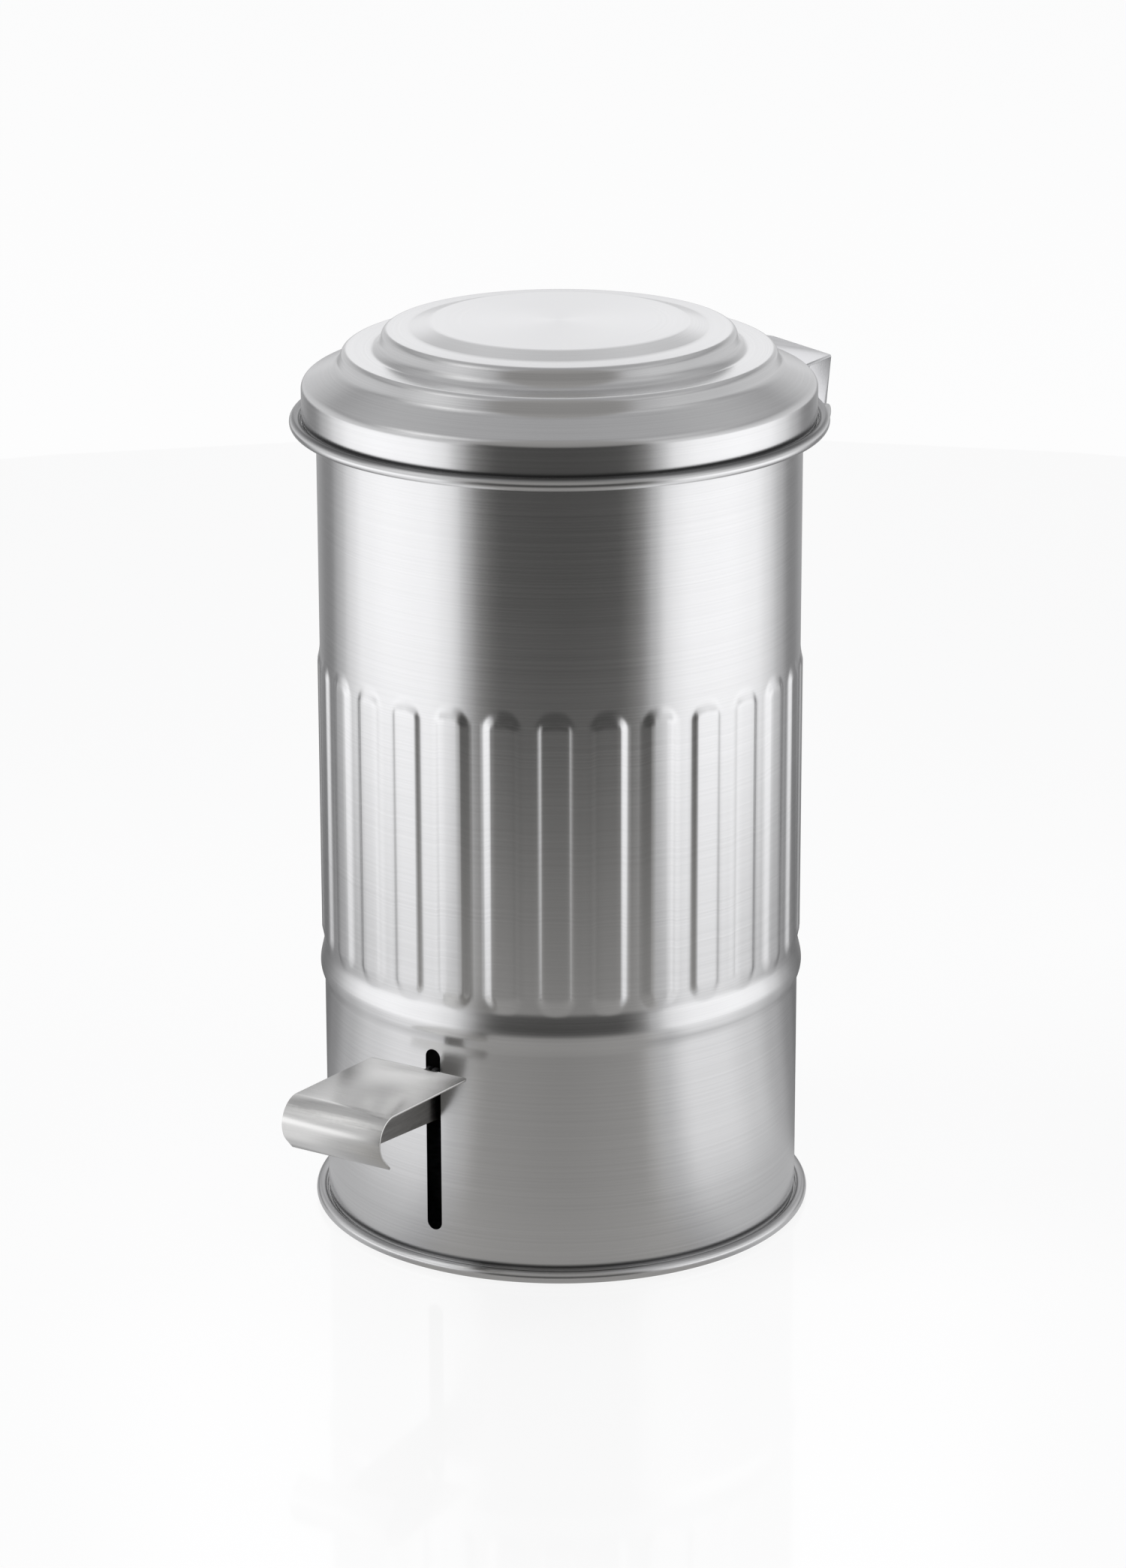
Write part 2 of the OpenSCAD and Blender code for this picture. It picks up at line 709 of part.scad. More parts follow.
module lid_shell() {
  under = shifted(lid_line, sheet_t);
  color("silver") difference() {
    union() {
      rotate_extrude() polygon(concat(lid_line, [for (i = [len(under) - 1:-1:0]) under[i]]));
      rotate_extrude() translate([rim_cr, rim_z]) circle(lid_roll_r);
    }
    for (a = hood_rivet_as) {
      on_wall(a, lid_r - sheet_t - over, hood_rivet_z)
        cylinder(h = sheet_t + 2 * over, r = hood_rivet_r + fit_gap);
    }
  }
}

module hood_outline() {
  difference() {
    polygon([[-hood_half_w, 0], [-hood_half_w, hinge_y + hood_side_back],
      [-hood_mid_half_w, hinge_y + hood_mid_back], [hood_mid_half_w, hinge_y + hood_mid_back],
      [hood_half_w, hinge_y + hood_side_back], [hood_half_w, 0]]);
    circle(hood_in_r);
  }
}

module lid_hood() {
  color("silver") difference() {
    union() {
      translate([0, 0, hood_z - hood_t]) linear_extrude(hood_t) intersection() {
        hood_outline();
        translate([-hood_half_w, hood_in_r * cos(flange_a)]) square([2 * hood_half_w, hinge_y]);
      }
      rotate([0, 0, 90 - flange_a]) rotate_extrude(angle = 2 * flange_a)
        translate([hood_in_r, hood_z - hood_flange_h]) square([hood_t, hood_flange_h]);
      for (side = [0, 1]) {
        mirror([side, 0, 0]) across(ear_in_x, hood_half_w) {
          translate([hinge_y, hinge_z]) circle(ear_r);
          polygon([[hinge_y - ear_front, hood_z - hood_t / 2], [hinge_y - ear_r, hinge_z],
            [hinge_y + ear_r, hinge_z], [hinge_y + hood_side_back, hood_z - hood_t / 2]]);
        }
      }
    }
    bar_x(-hood_half_w - over, hood_half_w + over, hinge_y, hinge_z, hinge_pin_r + run_gap);
    for (a = hood_rivet_as) {
      on_wall(a, hood_in_r - over, hood_rivet_z) cylinder(h = hood_t + 2 * over, r = hood_rivet_r + fit_gap);
    }
    translate([crank_tab_x, crank_tab_y, hood_z - hood_t - over])
      cylinder(h = hood_t + 2 * over, r = rivet_r + fit_gap);
  }
}

module hood_rivets() {
  grip = hood_t + fit_gap + sheet_t + bulge(lid_r - sheet_t, hood_rivet_head_r) + fit_gap;
  color("silver") for (a = hood_rivet_as) {
    on_wall(a, hood_in_r + hood_t, hood_rivet_z)
      rivet(grip, hood_rivet_r, hood_rivet_head_r, hood_rivet_head_h);
  }
}

// Crank post behind the wired rim, and its tab under the hood
post_in = rim_cr + lid_roll_r + move_gap;
post_out = hinge_y + hood_side_back;
crank_tab_w = 12;
crank_tab_x = crank_t / 2 + crank_tab_w / 2;
crank_tab_y = (post_in + post_out) / 2;
tab_top = hood_z - hood_t - fit_gap;

module lid_crank() {
  pin = [hinge_y, hinge_z];
  aim = [-cos(half_open), -sin(half_open)];
  slot_a = pin + aim * crank_slot_in;
  slot_b = pin + aim * crank_r;
  color("gray") difference() {
    union() {
      across(-crank_t / 2, crank_t / 2) {
        translate(pin) circle(crank_hub_r);
        translate(slot_b) circle(crank_half_w);
        link(pin, slot_b, crank_half_w);
        polygon([[post_in, hinge_z], [post_out - crank_hub_r / 2, hinge_z],
          [post_out, hinge_z + crank_hub_r], [post_out, tab_top], [post_in, tab_top]]);
      }
      translate([-crank_t / 2, post_in, tab_top - crank_t])
        cube([crank_t + crank_tab_w, post_out - post_in, crank_t]);
    }
    bar_x(-crank_t, crank_t, hinge_y, hinge_z, hinge_pin_r + run_gap);
    across(-crank_t, crank_t) {
      translate(slot_a) circle(crank_slot_r);
      translate(slot_b) circle(crank_slot_r);
      link(slot_a, slot_b, crank_slot_r);
    }
    translate([crank_tab_x, crank_tab_y, tab_top - crank_t - over])
      cylinder(h = crank_t + 2 * over, r = rivet_r + fit_gap);
  }
}

module crank_rivet() {
  color("silver") translate([crank_tab_x, crank_tab_y, hood_z]) rivet(hood_t + fit_gap + crank_t);
}

// Direction of the lid's band, and its underside
band_dir = unit([lid_r - band_top_r, shoulder_z - band_top_z]);

module lid_bumpers() {
  down = turned(band_dir) * (sheet_t + fit_gap);
  low = [lid_r, shoulder_z] + down;
  high = [band_top_r, band_top_z] + down;
  reach = band_dir * bumper_d;
  color("black") difference() {
    for (i = [0:bumper_n - 1]) {
      rotate([0, 0, (i + 1 / 2) * 360 / bumper_n])
        translate([0, flange_r - bumper_d / 2, flange_top + rest_gap])
        cylinder(h = band_rise, d = bumper_d);
    }
    rotate_extrude() polygon([high - reach, low + reach, low + reach + [0, lid_top],
      high - reach + [0, lid_top]]);
  }
}

module tread_line() {
  mid = [tread_len, -lip_r];
  end_a = 90 - lip_turn;
  wide = lip_r * 3;
  translate([0, -tread_t]) square([tread_len, tread_t]);
  translate(mid) difference() {
    circle(lip_r);
    circle(lip_r - tread_t);
    polygon([[0, 0], [0, wide], [-wide, wide], [-wide, -wide], [wide * cos(end_a), -wide],
      [wide * cos(end_a), wide * sin(end_a)]]);
  }
  translate(mid + lip_r * [cos(end_a), sin(end_a)]) rotate(end_a - 90)
    translate([0, -tread_t]) square([lip_flick, tread_t]);
}

module pedal_tread() {
  half = tread_w / 2;
  far = tread_len + lip_r + lip_flick;
  color("silver") translate([0, tread_y, tread_z]) rotate([-tread_slope, 0, 0]) intersection() {
    rotate([90, 0, -90]) translate([0, 0, -half]) linear_extrude(tread_w) tread_line();
    mirror([0, 1, 0]) translate([0, 0, -far]) linear_extrude(2 * far) {
      translate([-half, tread_corner_r]) square([tread_w, far]);
      translate([-half + tread_corner_r, 0]) square([tread_w - 2 * tread_corner_r, far]);
      for (side = [-1, 1]) {
        translate([side * (half - tread_corner_r), tread_corner_r]) circle(tread_corner_r);
      }
    }
  }
}

// Lower face of the tread at distance d from its inner edge
function tread_under(d) = tread_z + d * tan(tread_slope) - (tread_t + fit_gap) / cos(tread_slope);

// A point on the arm's middle line at distance d from the fulcrum, moved across by w
function on_arm(d, w) = [fulcrum_y, fulcrum_z] + d * [-cos(arm_slope), sin(arm_slope)]
  + w * [sin(arm_slope), cos(arm_slope)];

// Glide on each face of the web where it passes the slot, and the small rivet through both
glide_r = 3.4;
glide_t = 1.3;
glide_y = -body_r - sheet_t;
glide_z = web_top - glide_r / 2;
glide_hole_r = 0.9;
glide_head_h = 0.9;
// Half the width of the web beside the lever arm, and the step of the rivets that join them
web_half = 7;
lever_rivet_step = 13;
lever_rivet_ds = [arm_len - lever_rivet_step, arm_len];

module pedal_web() {
  color("silver") difference() {
    across(-web_t / 2, web_t / 2) polygon([
      [-body_r - web_reach, web_low + web_reach * tan(web_slope)],
      [-body_r - web_reach, tread_under(web_reach - tread_gap)],
      [tread_y, tread_under(0)],
      [-body_r, web_top],
      on_arm(arm_len + lever_half_w, web_half),
      on_arm(web_in_len, web_half),
      on_arm(web_in_len, -web_half),
      [-body_r, web_low]]);
    for (d = lever_rivet_ds) {
      bar_x(-web_t, web_t, on_arm(d, 0)[0], on_arm(d, 0)[1], rivet_r + fit_gap);
    }
    bar_x(-web_t, web_t, glide_y, glide_z, glide_hole_r + fit_gap);
  }
}

module slot_glides() {
  near = web_t / 2 + fit_gap;
  color("black") for (side = [0, 1]) {
    mirror([side, 0, 0]) ring_x(near, near + glide_t, glide_y, glide_z, glide_hole_r + fit_gap, glide_r);
  }
}

module glide_rivet() {
  near = web_t / 2 + fit_gap + glide_t;
  color("silver") translate([near, glide_y, glide_z]) rotate([0, 90, 0])
    rivet(2 * near, glide_hole_r, glide_r * 2 / 3, glide_head_h);
}

module lever_arm() {
  hub = [fulcrum_y, fulcrum_z];
  front = on_arm(arm_len, 0);
  rear = [rod_y, rod_low];
  near = web_t / 2 + fit_gap;
  color("slategray") difference() {
    across(near, near + lever_t) {
      translate(hub) circle(lever_hub_r);
      translate(front) circle(lever_half_w);
      translate(rear) circle(lever_half_w);
      link(hub, front, lever_half_w);
      link(hub, rear, lever_half_w);
    }
    bar_x(0, cheek_gap, fulcrum_y, fulcrum_z, fulcrum_pin_r + run_gap + bush_t + fit_gap);
    bar_x(0, cheek_gap, rod_y, rod_low, rod_r + run_gap);
    for (d = lever_rivet_ds) {
      bar_x(0, cheek_gap, on_arm(d, 0)[0], on_arm(d, 0)[1], rivet_r + fit_gap);
    }
  }
}

module lever_rivets() {
  top = web_t / 2 + fit_gap + lever_t;
  color("silver") for (d = lever_rivet_ds) {
    translate([top, on_arm(d, 0)[0], on_arm(d, 0)[1]]) rotate([0, 90, 0]) rivet(lever_t + fit_gap + web_t);
  }
}

module lever_bush() {
  bore = fulcrum_pin_r + run_gap;
  near = lever_x - cheek_gap / 2 + side_gap;
  far = lever_x + cheek_gap / 2 - side_gap;
  collar = web_t / 2 + 2 * fit_gap + lever_t;
  color("white") {
    ring_x(near, far, fulcrum_y, fulcrum_z, bore, bore + bush_t);
    ring_x(collar, far, fulcrum_y, fulcrum_z, bore, bore + 2 * bush_t);
  }
}

module push_rod() {
  color("silver") {
    translate([rod_x, rod_y, rod_low + rod_bend_r])
      cylinder(h = rod_top - rod_low - 2 * rod_bend_r, r = rod_r);
    translate([rod_x - rod_bend_r, rod_y, rod_low + rod_bend_r]) rotate([90, 0, 0])
      rotate_extrude(angle = 90, start = -90) translate([rod_bend_r, 0]) circle(rod_r);
    translate([rod_x - rod_bend_r, rod_y, rod_top - rod_bend_r]) rotate([90, 0, 0])
      rotate_extrude(angle = 90, start = 0) translate([rod_bend_r, 0]) circle(rod_r);
    bar_x(-rod_reach, rod_x - rod_bend_r, rod_y, rod_low, rod_r);
    bar_x(-rod_reach, rod_x - rod_bend_r, rod_y, rod_top, rod_r);
  }
}

module rod_clips() {
  clip_r = rod_r + clip_w;
  low_x = web_t / 2 + fit_gap - side_gap;
  high_x = -crank_t / 2 - side_gap;
  color("dimgray") {
    ring_x(low_x - clip_t, low_x, rod_y, rod_low, rod_r + run_gap, clip_r);
    ring_x(high_x - clip_t, high_x, rod_y, rod_top, rod_r + run_gap, clip_r);
  }
}

body_shell();
rim_ring();
base_pan();
foot_ring();
fulcrum_bracket();
bracket_rivets();
fulcrum_pin();
fulcrum_clips();
hinge_base();
hinge_base_rivets();
hinge_pin();
hinge_pin_caps();
hinge_washers();
rod_guide();
bucket();
bucket_bail();
lid_shell();
lid_hood();
hood_rivets();
lid_crank();
crank_rivet();
lid_bumpers();
pedal_tread();
pedal_web();
slot_glides();
glide_rivet();
lever_arm();
lever_rivets();
lever_bush();
push_rod();
rod_clips();
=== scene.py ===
import json
import math

import bmesh
import bpy
from mathutils import Matrix, Vector

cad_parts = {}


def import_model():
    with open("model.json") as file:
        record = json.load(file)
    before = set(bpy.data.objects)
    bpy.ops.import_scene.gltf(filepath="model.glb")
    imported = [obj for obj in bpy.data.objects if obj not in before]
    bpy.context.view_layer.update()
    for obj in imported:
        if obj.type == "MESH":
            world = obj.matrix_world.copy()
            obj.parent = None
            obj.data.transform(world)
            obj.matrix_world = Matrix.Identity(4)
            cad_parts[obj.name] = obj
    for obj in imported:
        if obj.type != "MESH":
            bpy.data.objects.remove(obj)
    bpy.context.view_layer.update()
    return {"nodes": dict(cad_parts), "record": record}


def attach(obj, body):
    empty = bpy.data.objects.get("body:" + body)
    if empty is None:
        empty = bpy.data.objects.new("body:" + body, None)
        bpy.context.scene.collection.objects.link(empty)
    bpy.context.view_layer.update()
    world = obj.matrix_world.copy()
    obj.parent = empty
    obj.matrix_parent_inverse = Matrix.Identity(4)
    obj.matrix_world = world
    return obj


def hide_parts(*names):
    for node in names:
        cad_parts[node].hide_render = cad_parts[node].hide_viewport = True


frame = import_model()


# Sizes in metres, as on the real bin

MM = 0.001

# Shell and its rolled foot
BODY_R = 100 * MM
BODY_TOP = 354 * MM
SHEET_T = 0.7 * MM
FOOT_LIFT = 0.3 * MM
FOOT_ROLL_R = 2.55 * MM
FOOT_ROLL_CR = 102.66 * MM
FOOT_TOP = FOOT_LIFT + 2 * FOOT_ROLL_R
# Start and end of a rolled edge round its own middle, in degrees
ROLL_START = 171
ROLL_END = -170
ROLL_SEGMENTS = 30
# How far above and below a roll's middle the two faces of the sheet run into it
CREVICE = 0.4 * MM

# Heights and reaches of the rolled bead: a slow slope above its crest and a round lower half
BEAD_LINE = [(z * MM, out * MM) for z, out in (
    (98.8, 0), (100.3, 0.1), (102.2, 0.6), (104, 1.24), (105.5, 1.62), (107, 1.77), (108.8, 1.65),
    (110.6, 1.3), (112.6, 0.84), (114.6, 0.38), (116.2, 0.1), (117.6, 0))]

# Pressed ribs: their flanks are longer at the two ends than at the sides
RIB_N = 29
RIB_W = 12.3 * MM
RIB_LEN = 125.2 * MM
RIB_LOW = 118.3 * MM
RIB_OUT = 1 * MM
RIB_TURN = math.radians(-0.5)
RIB_PITCH = 2 * math.pi / RIB_N
RIB_FLANK = 3.6 * MM
RIB_END_FLANK = 7.8 * MM
RIB_END_REACH = 9.15 * MM

# Steps between the shell's rows, on the plain wall and where the shape changes
WALL_STEP = 9 * MM
ROW_STEP = 0.8 * MM
ROW_MARGIN = 1 * MM
ROWS_BELOW_BEAD = 3
# Places of the shell's columns, counted along the wall from the middle of each rib
RIB_SPOTS = [x * MM for x in (0, 2.1, 4.2, 5.1, 6, 6.9, 7.95, 9.4)]

# Openings in the shell: the pedal's slot and the crank's window
SLOT_W = 7.1 * MM
SLOT_LOW = 16.9 * MM
SLOT_HIGH = 96.8 * MM
SLOT_SEGMENTS = 16
WINDOW_HALF_W = 3.8 * MM
WINDOW_LOW = 312.7 * MM
WINDOW_HIGH = 343.3 * MM
CUT_REACH = 3 * MM

# Lid: corners of its outline from the middle outwards, and the radius at each inner corner
LID_LINE = [(r * MM, z * MM) for r, z in (
    (0, 382.4), (52.6, 382.4), (62.3, 379.7), (72, 379.3), (74.6, 371.35), (88.6, 371.1),
    (91.2, 364.6), (105.9, 357.6), (105.9, 344.6))]
LID_FILLETS = [r * MM for r in (9, 12, 3.3, 5.4, 3.1, 4.5, 4)]
LID_FILLET_SEGMENTS = 10
LID_COLUMNS = 256
LID_R = 105.9 * MM
LID_RIM_Z = 341.5 * MM
LID_ROLL_R = 2.5 * MM
LID_ROLL_CR = 108.45 * MM

# Hinge hood: its plate, its flange on the lid's skirt and its two ears on the hinge pin
HINGE_Y = 110 * MM
HINGE_Z = 328 * MM
HOOD_T = 1 * MM
HOOD_TOP = 351 * MM
HOOD_HALF_W = 61.5 * MM
HOOD_INNER_R = LID_R + 0.1 * MM
HOOD_BEND_Y = 119 * MM
HOOD_BACK_Y = 136.3 * MM
HOOD_BACK_HALF_W = 23.6 * MM
HOOD_FLANGE_H = 5.8 * MM
HOOD_SEGMENTS = 40
HOOD_FOLD_R = 2 * MM
HOOD_FOLD_SEGMENTS = 5
HOOD_EDGE_R = 0.25 * MM
EAR_FRONT_Y = 100 * MM
EAR_R = 4.6 * MM
EAR_START = 190
EAR_END = 350
EAR_SEGMENTS = 24
EAR_HOLE_R = 2.06 * MM
EAR_HOLE_SIDES = 12

# Pedal tread: a sloping plate whose lip rolls under and ends in a short straight flick
TREAD_Y = -110 * MM
TREAD_Z = 92.2 * MM
TREAD_W = 47 * MM
TREAD_LEN = 54.5 * MM
TREAD_T = 1 * MM
TREAD_SLOPE = math.radians(2.6)
TREAD_STEP = 4 * MM
TREAD_EDGE_R = 0.3 * MM
LIP_R = 10.4 * MM
LIP_TURN = 135
LIP_SEGMENTS = 36
LIP_FLICK = 6.6 * MM
CORNER_R = 2 * MM
CORNER_STEP = 0.25 * MM

# Angles in degrees: from SHARP on, an edge breaks the smooth shading, and from BEVEL_ANGLE on it is rounded
SHARP = 40
HOOD_SHARP = 50
BEVEL_ANGLE = 60
# Points nearer than this are one point
JOIN_DIST = 1e-7


# Finishes

# Density of the brushing in x, y and z, and how much a step outwards counts as a step down
FINE_STREAKS = (5, 5, 1700)
BROAD_STREAKS = (2.5, 2.5, 650)
STREAK_SLANT = 1.37
# Streaks that run straight along the axis with the smallest number
HOOD_STREAKS = (40, 1800, 1800)
PEDAL_STREAKS = (60, 1500, 1500)
WEB_STREAKS = (900, 60, 900)
DRAWN_STREAKS = (300, 300, 300)
CLIP_STREAKS = (400, 400, 400)
# Painted shade in the creases of the rolled edges: its colour, how much of it shows and how far it reaches
CREASE_SHADE = (0.03, 0.03, 0.032, 1)
CREASE_SHADE_SHARE = 0.85
CREASE_SHADE_REACH = 1.7 * MM


# Camera, as fitted to the photograph: place in metres, angles in degrees, lengths in pixels and mm

CAMERA_AT = (1.0897, -1.7624, 0.8643)
CAMERA_TURN = 31.7
CAMERA_PITCH = 18.20
CAMERA_ROLL = -0.145
FOCAL_PIXELS = 6920.4
FRAME_PIXELS = 2089
SENSOR = 36.0


# Studio

# What lights the bin from all round, and what the camera and the gloss see
WORLD_FILL = (0.55, 0.55, 0.56, 1)
WORLD_SEEN = (1, 1, 1, 1)

# Floor: a plain one for the rays that light the bin, and a glow, a shadow's share and a faint mirror for the
# rays that are seen
FLOOR_HALF = 6.0
FLOOR_COLOR = (0.8, 0.8, 0.8, 1)
FLOOR_ROUGH = 0.08
FLOOR_GLOW = 0.8
FLOOR_SOFT = (0.2, 0.2, 0.2, 1)
FLOOR_MIRROR = (0.055, 0.055, 0.055, 1)
FLOOR_MIRROR_ROUGH = 0.06

# Tent of light that only glossy rays see, in metres and degrees
TENT_R = 1.3
TENT_TURNS = 48
TENT_RISES = 16
TENT_TOP = 89.5
TENT_HOLE = 0.02
TENT_LIFT = 0.4 * MM
TENT_POWER = 1.2
# Distances from the bin's axis at which one brightness of the tent's floor passes into the next
INNER_R = 0.125
WALL_R = 0.22
NEAR_R = 0.3
FAR_R = 1.0
# Brightness of the tent by the angle from the camera's side
FAR_FLOOR = [(0, 0.05), (26, 0.055), (36, 0.13), (43, 0.42), (50, 0.82), (62, 0.96), (84, 1.0),
             (102, 0.93), (112, 0.72), (123, 0.42), (134, 0.2), (142, 0.2), (154, 0.28), (168, 0.36),
             (180, 0.5)]
NEAR_FLOOR = [(0, 0.235), (30, 0.26), (42, 0.42), (56, 0.68), (72, 0.68), (90, 0.56), (108, 0.38),
              (126, 0.22), (142, 0.14), (156, 0.2), (168, 0.28), (180, 0.42)]
INNER_FLOOR = [(0, 0.26), (36, 0.28), (60, 0.42), (100, 0.4), (120, 0.22), (142, 0.13), (180, 0.35)]
# Share of the far sides over the near one, and of the window behind the bin over the far sides
NEAR_SIDE = [(0, 0), (32, 0), (45, 1), (180, 1)]
WINDOW_SIDE = [(0, 0), (161, 0), (168, 1), (180, 1)]
# Brightness of the tent's sides by the angle above the floor
NEAR_SKY = [(0, 0.03), (18, 0.04), (23, 0.08), (30, 0.19), (42, 0.24), (90, 0.28)]
FAR_SKY = [(0, 0.55), (15, 0.56), (25, 0.52), (31, 0.5), (37, 0.42), (44, 0.3), (51, 0.36), (57, 0.4),
           (63, 0.39), (72, 0.34), (90, 0.28)]
WINDOW_SKY = [(0, 0.5), (15, 0.52), (24, 0.76), (34, 0.82), (42, 0.72), (52, 0.6), (61, 0.46),
              (72, 0.34), (90, 0.28)]
# Share of the sides' brightness over the floor's, by the angle above the floor
LOW_SHARE = [(0, 0), (7, 0), (15, 1), (90, 1)]
# Tints of the near side and of the far sides
WARM = (1.0, 0.985, 0.965, 1)
COOL = (0.985, 0.985, 1.0, 1)

# Name, place, width and power of each lamp, and the point that they aim at
LAMPS = [("key", (-1.2, -1.3, 1.9), 1.2, 10), ("fill", (1.9, 0.2, 1.5), 1.2, 6)]
LAMP_AIM = (0, 0, 0.2)


# Mesh helpers

def linked(name, data):
    """An object of the scene that shows the data."""
    obj = bpy.data.objects.new(name, data)
    bpy.context.scene.collection.objects.link(obj)
    return obj


def new_mesh(name, verts, faces):
    mesh = bpy.data.meshes.new(name)
    mesh.from_pydata(verts, [], faces)
    mesh.validate()
    return mesh


def clean(obj):
    """Joins double points and turns every face outwards."""
    bm = bmesh.new()
    bm.from_mesh(obj.data)
    bmesh.ops.remove_doubles(bm, verts=bm.verts, dist=JOIN_DIST)
    bmesh.ops.dissolve_degenerate(bm, edges=bm.edges, dist=JOIN_DIST)
    bmesh.ops.recalc_face_normals(bm, faces=bm.faces)
    bm.to_mesh(obj.data)
    bm.free()


def solid(name, verts, faces):
    """A closed mesh object."""
    obj = linked(name, new_mesh(name, verts, faces))
    clean(obj)
    return obj


def finish_mesh(obj, sharp=SHARP):
    """Smooth shading, broken at sharp edges."""
    obj.data.shade_smooth()
    obj.data.set_sharp_from_angle(angle=math.radians(sharp))


def new_piece(name, verts, faces, body, material):
    """A visible piece that rides on a body."""
    obj = solid(name, verts, faces)
    finish_mesh(obj)
    obj.data.materials.append(material)
    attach(obj, body)
    return obj


def apply_modifiers(obj):
    graph = bpy.context.evaluated_depsgraph_get()
    mesh = bpy.data.meshes.new_from_object(obj.evaluated_get(graph))
    obj.modifiers.clear()
    old = obj.data
    obj.data = mesh
    bpy.data.meshes.remove(old)


def boolean(obj, other, operation):
    """Cuts other out of obj or joins it on, and removes other."""
    modifier = obj.modifiers.new("cut", "BOOLEAN")
    modifier.object = other
    modifier.operation = operation
    modifier.solver = "EXACT"
    apply_modifiers(obj)
    bpy.data.objects.remove(other)


def bevel(obj, width):
    """Rounds the edges that BEVEL_ANGLE picks."""
    modifier = obj.modifiers.new("bevel", "BEVEL")
    modifier.width = width
    modifier.segments = 2
    modifier.limit_method = "ANGLE"
    modifier.angle_limit = math.radians(BEVEL_ANGLE)
    apply_modifiers(obj)


def arc(cx, cy, radius, start, end, n):
    """Points of an arc in degrees, both ends included."""
    step = math.radians(end - start) / n
    begin = math.radians(start)
    return [(cx + radius * math.cos(begin + step * i), cy + radius * math.sin(begin + step * i))
            for i in range(n + 1)]


def rounded(corners, radii, n):
    """An open outline through corners, each inner corner rounded by its radius."""
    out = [corners[0]]
    for before, here, after, radius in zip(corners, corners[1:], corners[2:], radii):
        b = Vector(here)
        u = (Vector(before) - b).normalized()
        w = (Vector(after) - b).normalized()
        half = math.acos(max(-1, min(1, u.dot(w)))) / 2
        middle = b + (u + w).normalized() * radius / math.sin(half)
        p = b + u * radius / math.tan(half) - middle
        q = b + w * radius / math.tan(half) - middle
        turn = math.atan2(p.x * q.y - p.y * q.x, p.dot(q))
        start = math.atan2(p.y, p.x)
        for i in range(n + 1):
            a = start + turn * i / n
            out.append((middle.x + radius * math.cos(a), middle.y + radius * math.sin(a)))
    out.append(corners[-1])
    return out


def offset(line, distance):
    """The outline moved by distance to the right of its direction."""
    out = []
    for i, point in enumerate(line):
        here = Vector(point)
        before = (here - Vector(line[i - 1])).normalized() if i else Vector((0, 0))
        after = (Vector(line[i + 1]) - here).normalized() if i < len(line) - 1 else Vector((0, 0))
        along = (before + after).normalized()
        out.append((here.x + along.y * distance, here.y - along.x * distance))
    return out


def steps(start, end, step):
    """Evenly spaced values from start up to, but without, end."""
    n = max(1, round(abs(end - start) / step))
    return [start + (end - start) * i / n for i in range(n)]


def revolve(loop, turns, shape=None):
    """Points and faces of a closed outline of (r, z) turned round Z, with an optional change of radius."""
    verts = []
    for turn in turns:
        for r, z in loop:
            radius = r + (shape(turn, z) if shape else 0)
            verts.append((radius * math.sin(turn), -radius * math.cos(turn), z))
    m = len(loop)
    faces = []
    for j in range(len(turns)):
        k = (j + 1) % len(turns)
        for i in range(m):
            n = (i + 1) % m
            faces.append((j * m + i, k * m + i, k * m + n, j * m + n))
    return verts, faces


def prism(outline, low, high, place):
    """Points and faces of a flat outline drawn from low to high, each point placed by place(u, v, w)."""
    n = len(outline)
    verts = [place(u, v, w) for w in (low, high) for u, v in outline]
    faces = [tuple(range(n)), tuple(range(2 * n - 1, n - 1, -1))]
    faces += [(i, (i + 1) % n, n + (i + 1) % n, n + i) for i in range(n)]
    return verts, faces


def drawn_along_x(u, v, w):
    return w, u, v


def drawn_along_y(u, v, w):
    return u, w, v


def drawn_along_z(u, v, w):
    return u, v, w


# Node helpers

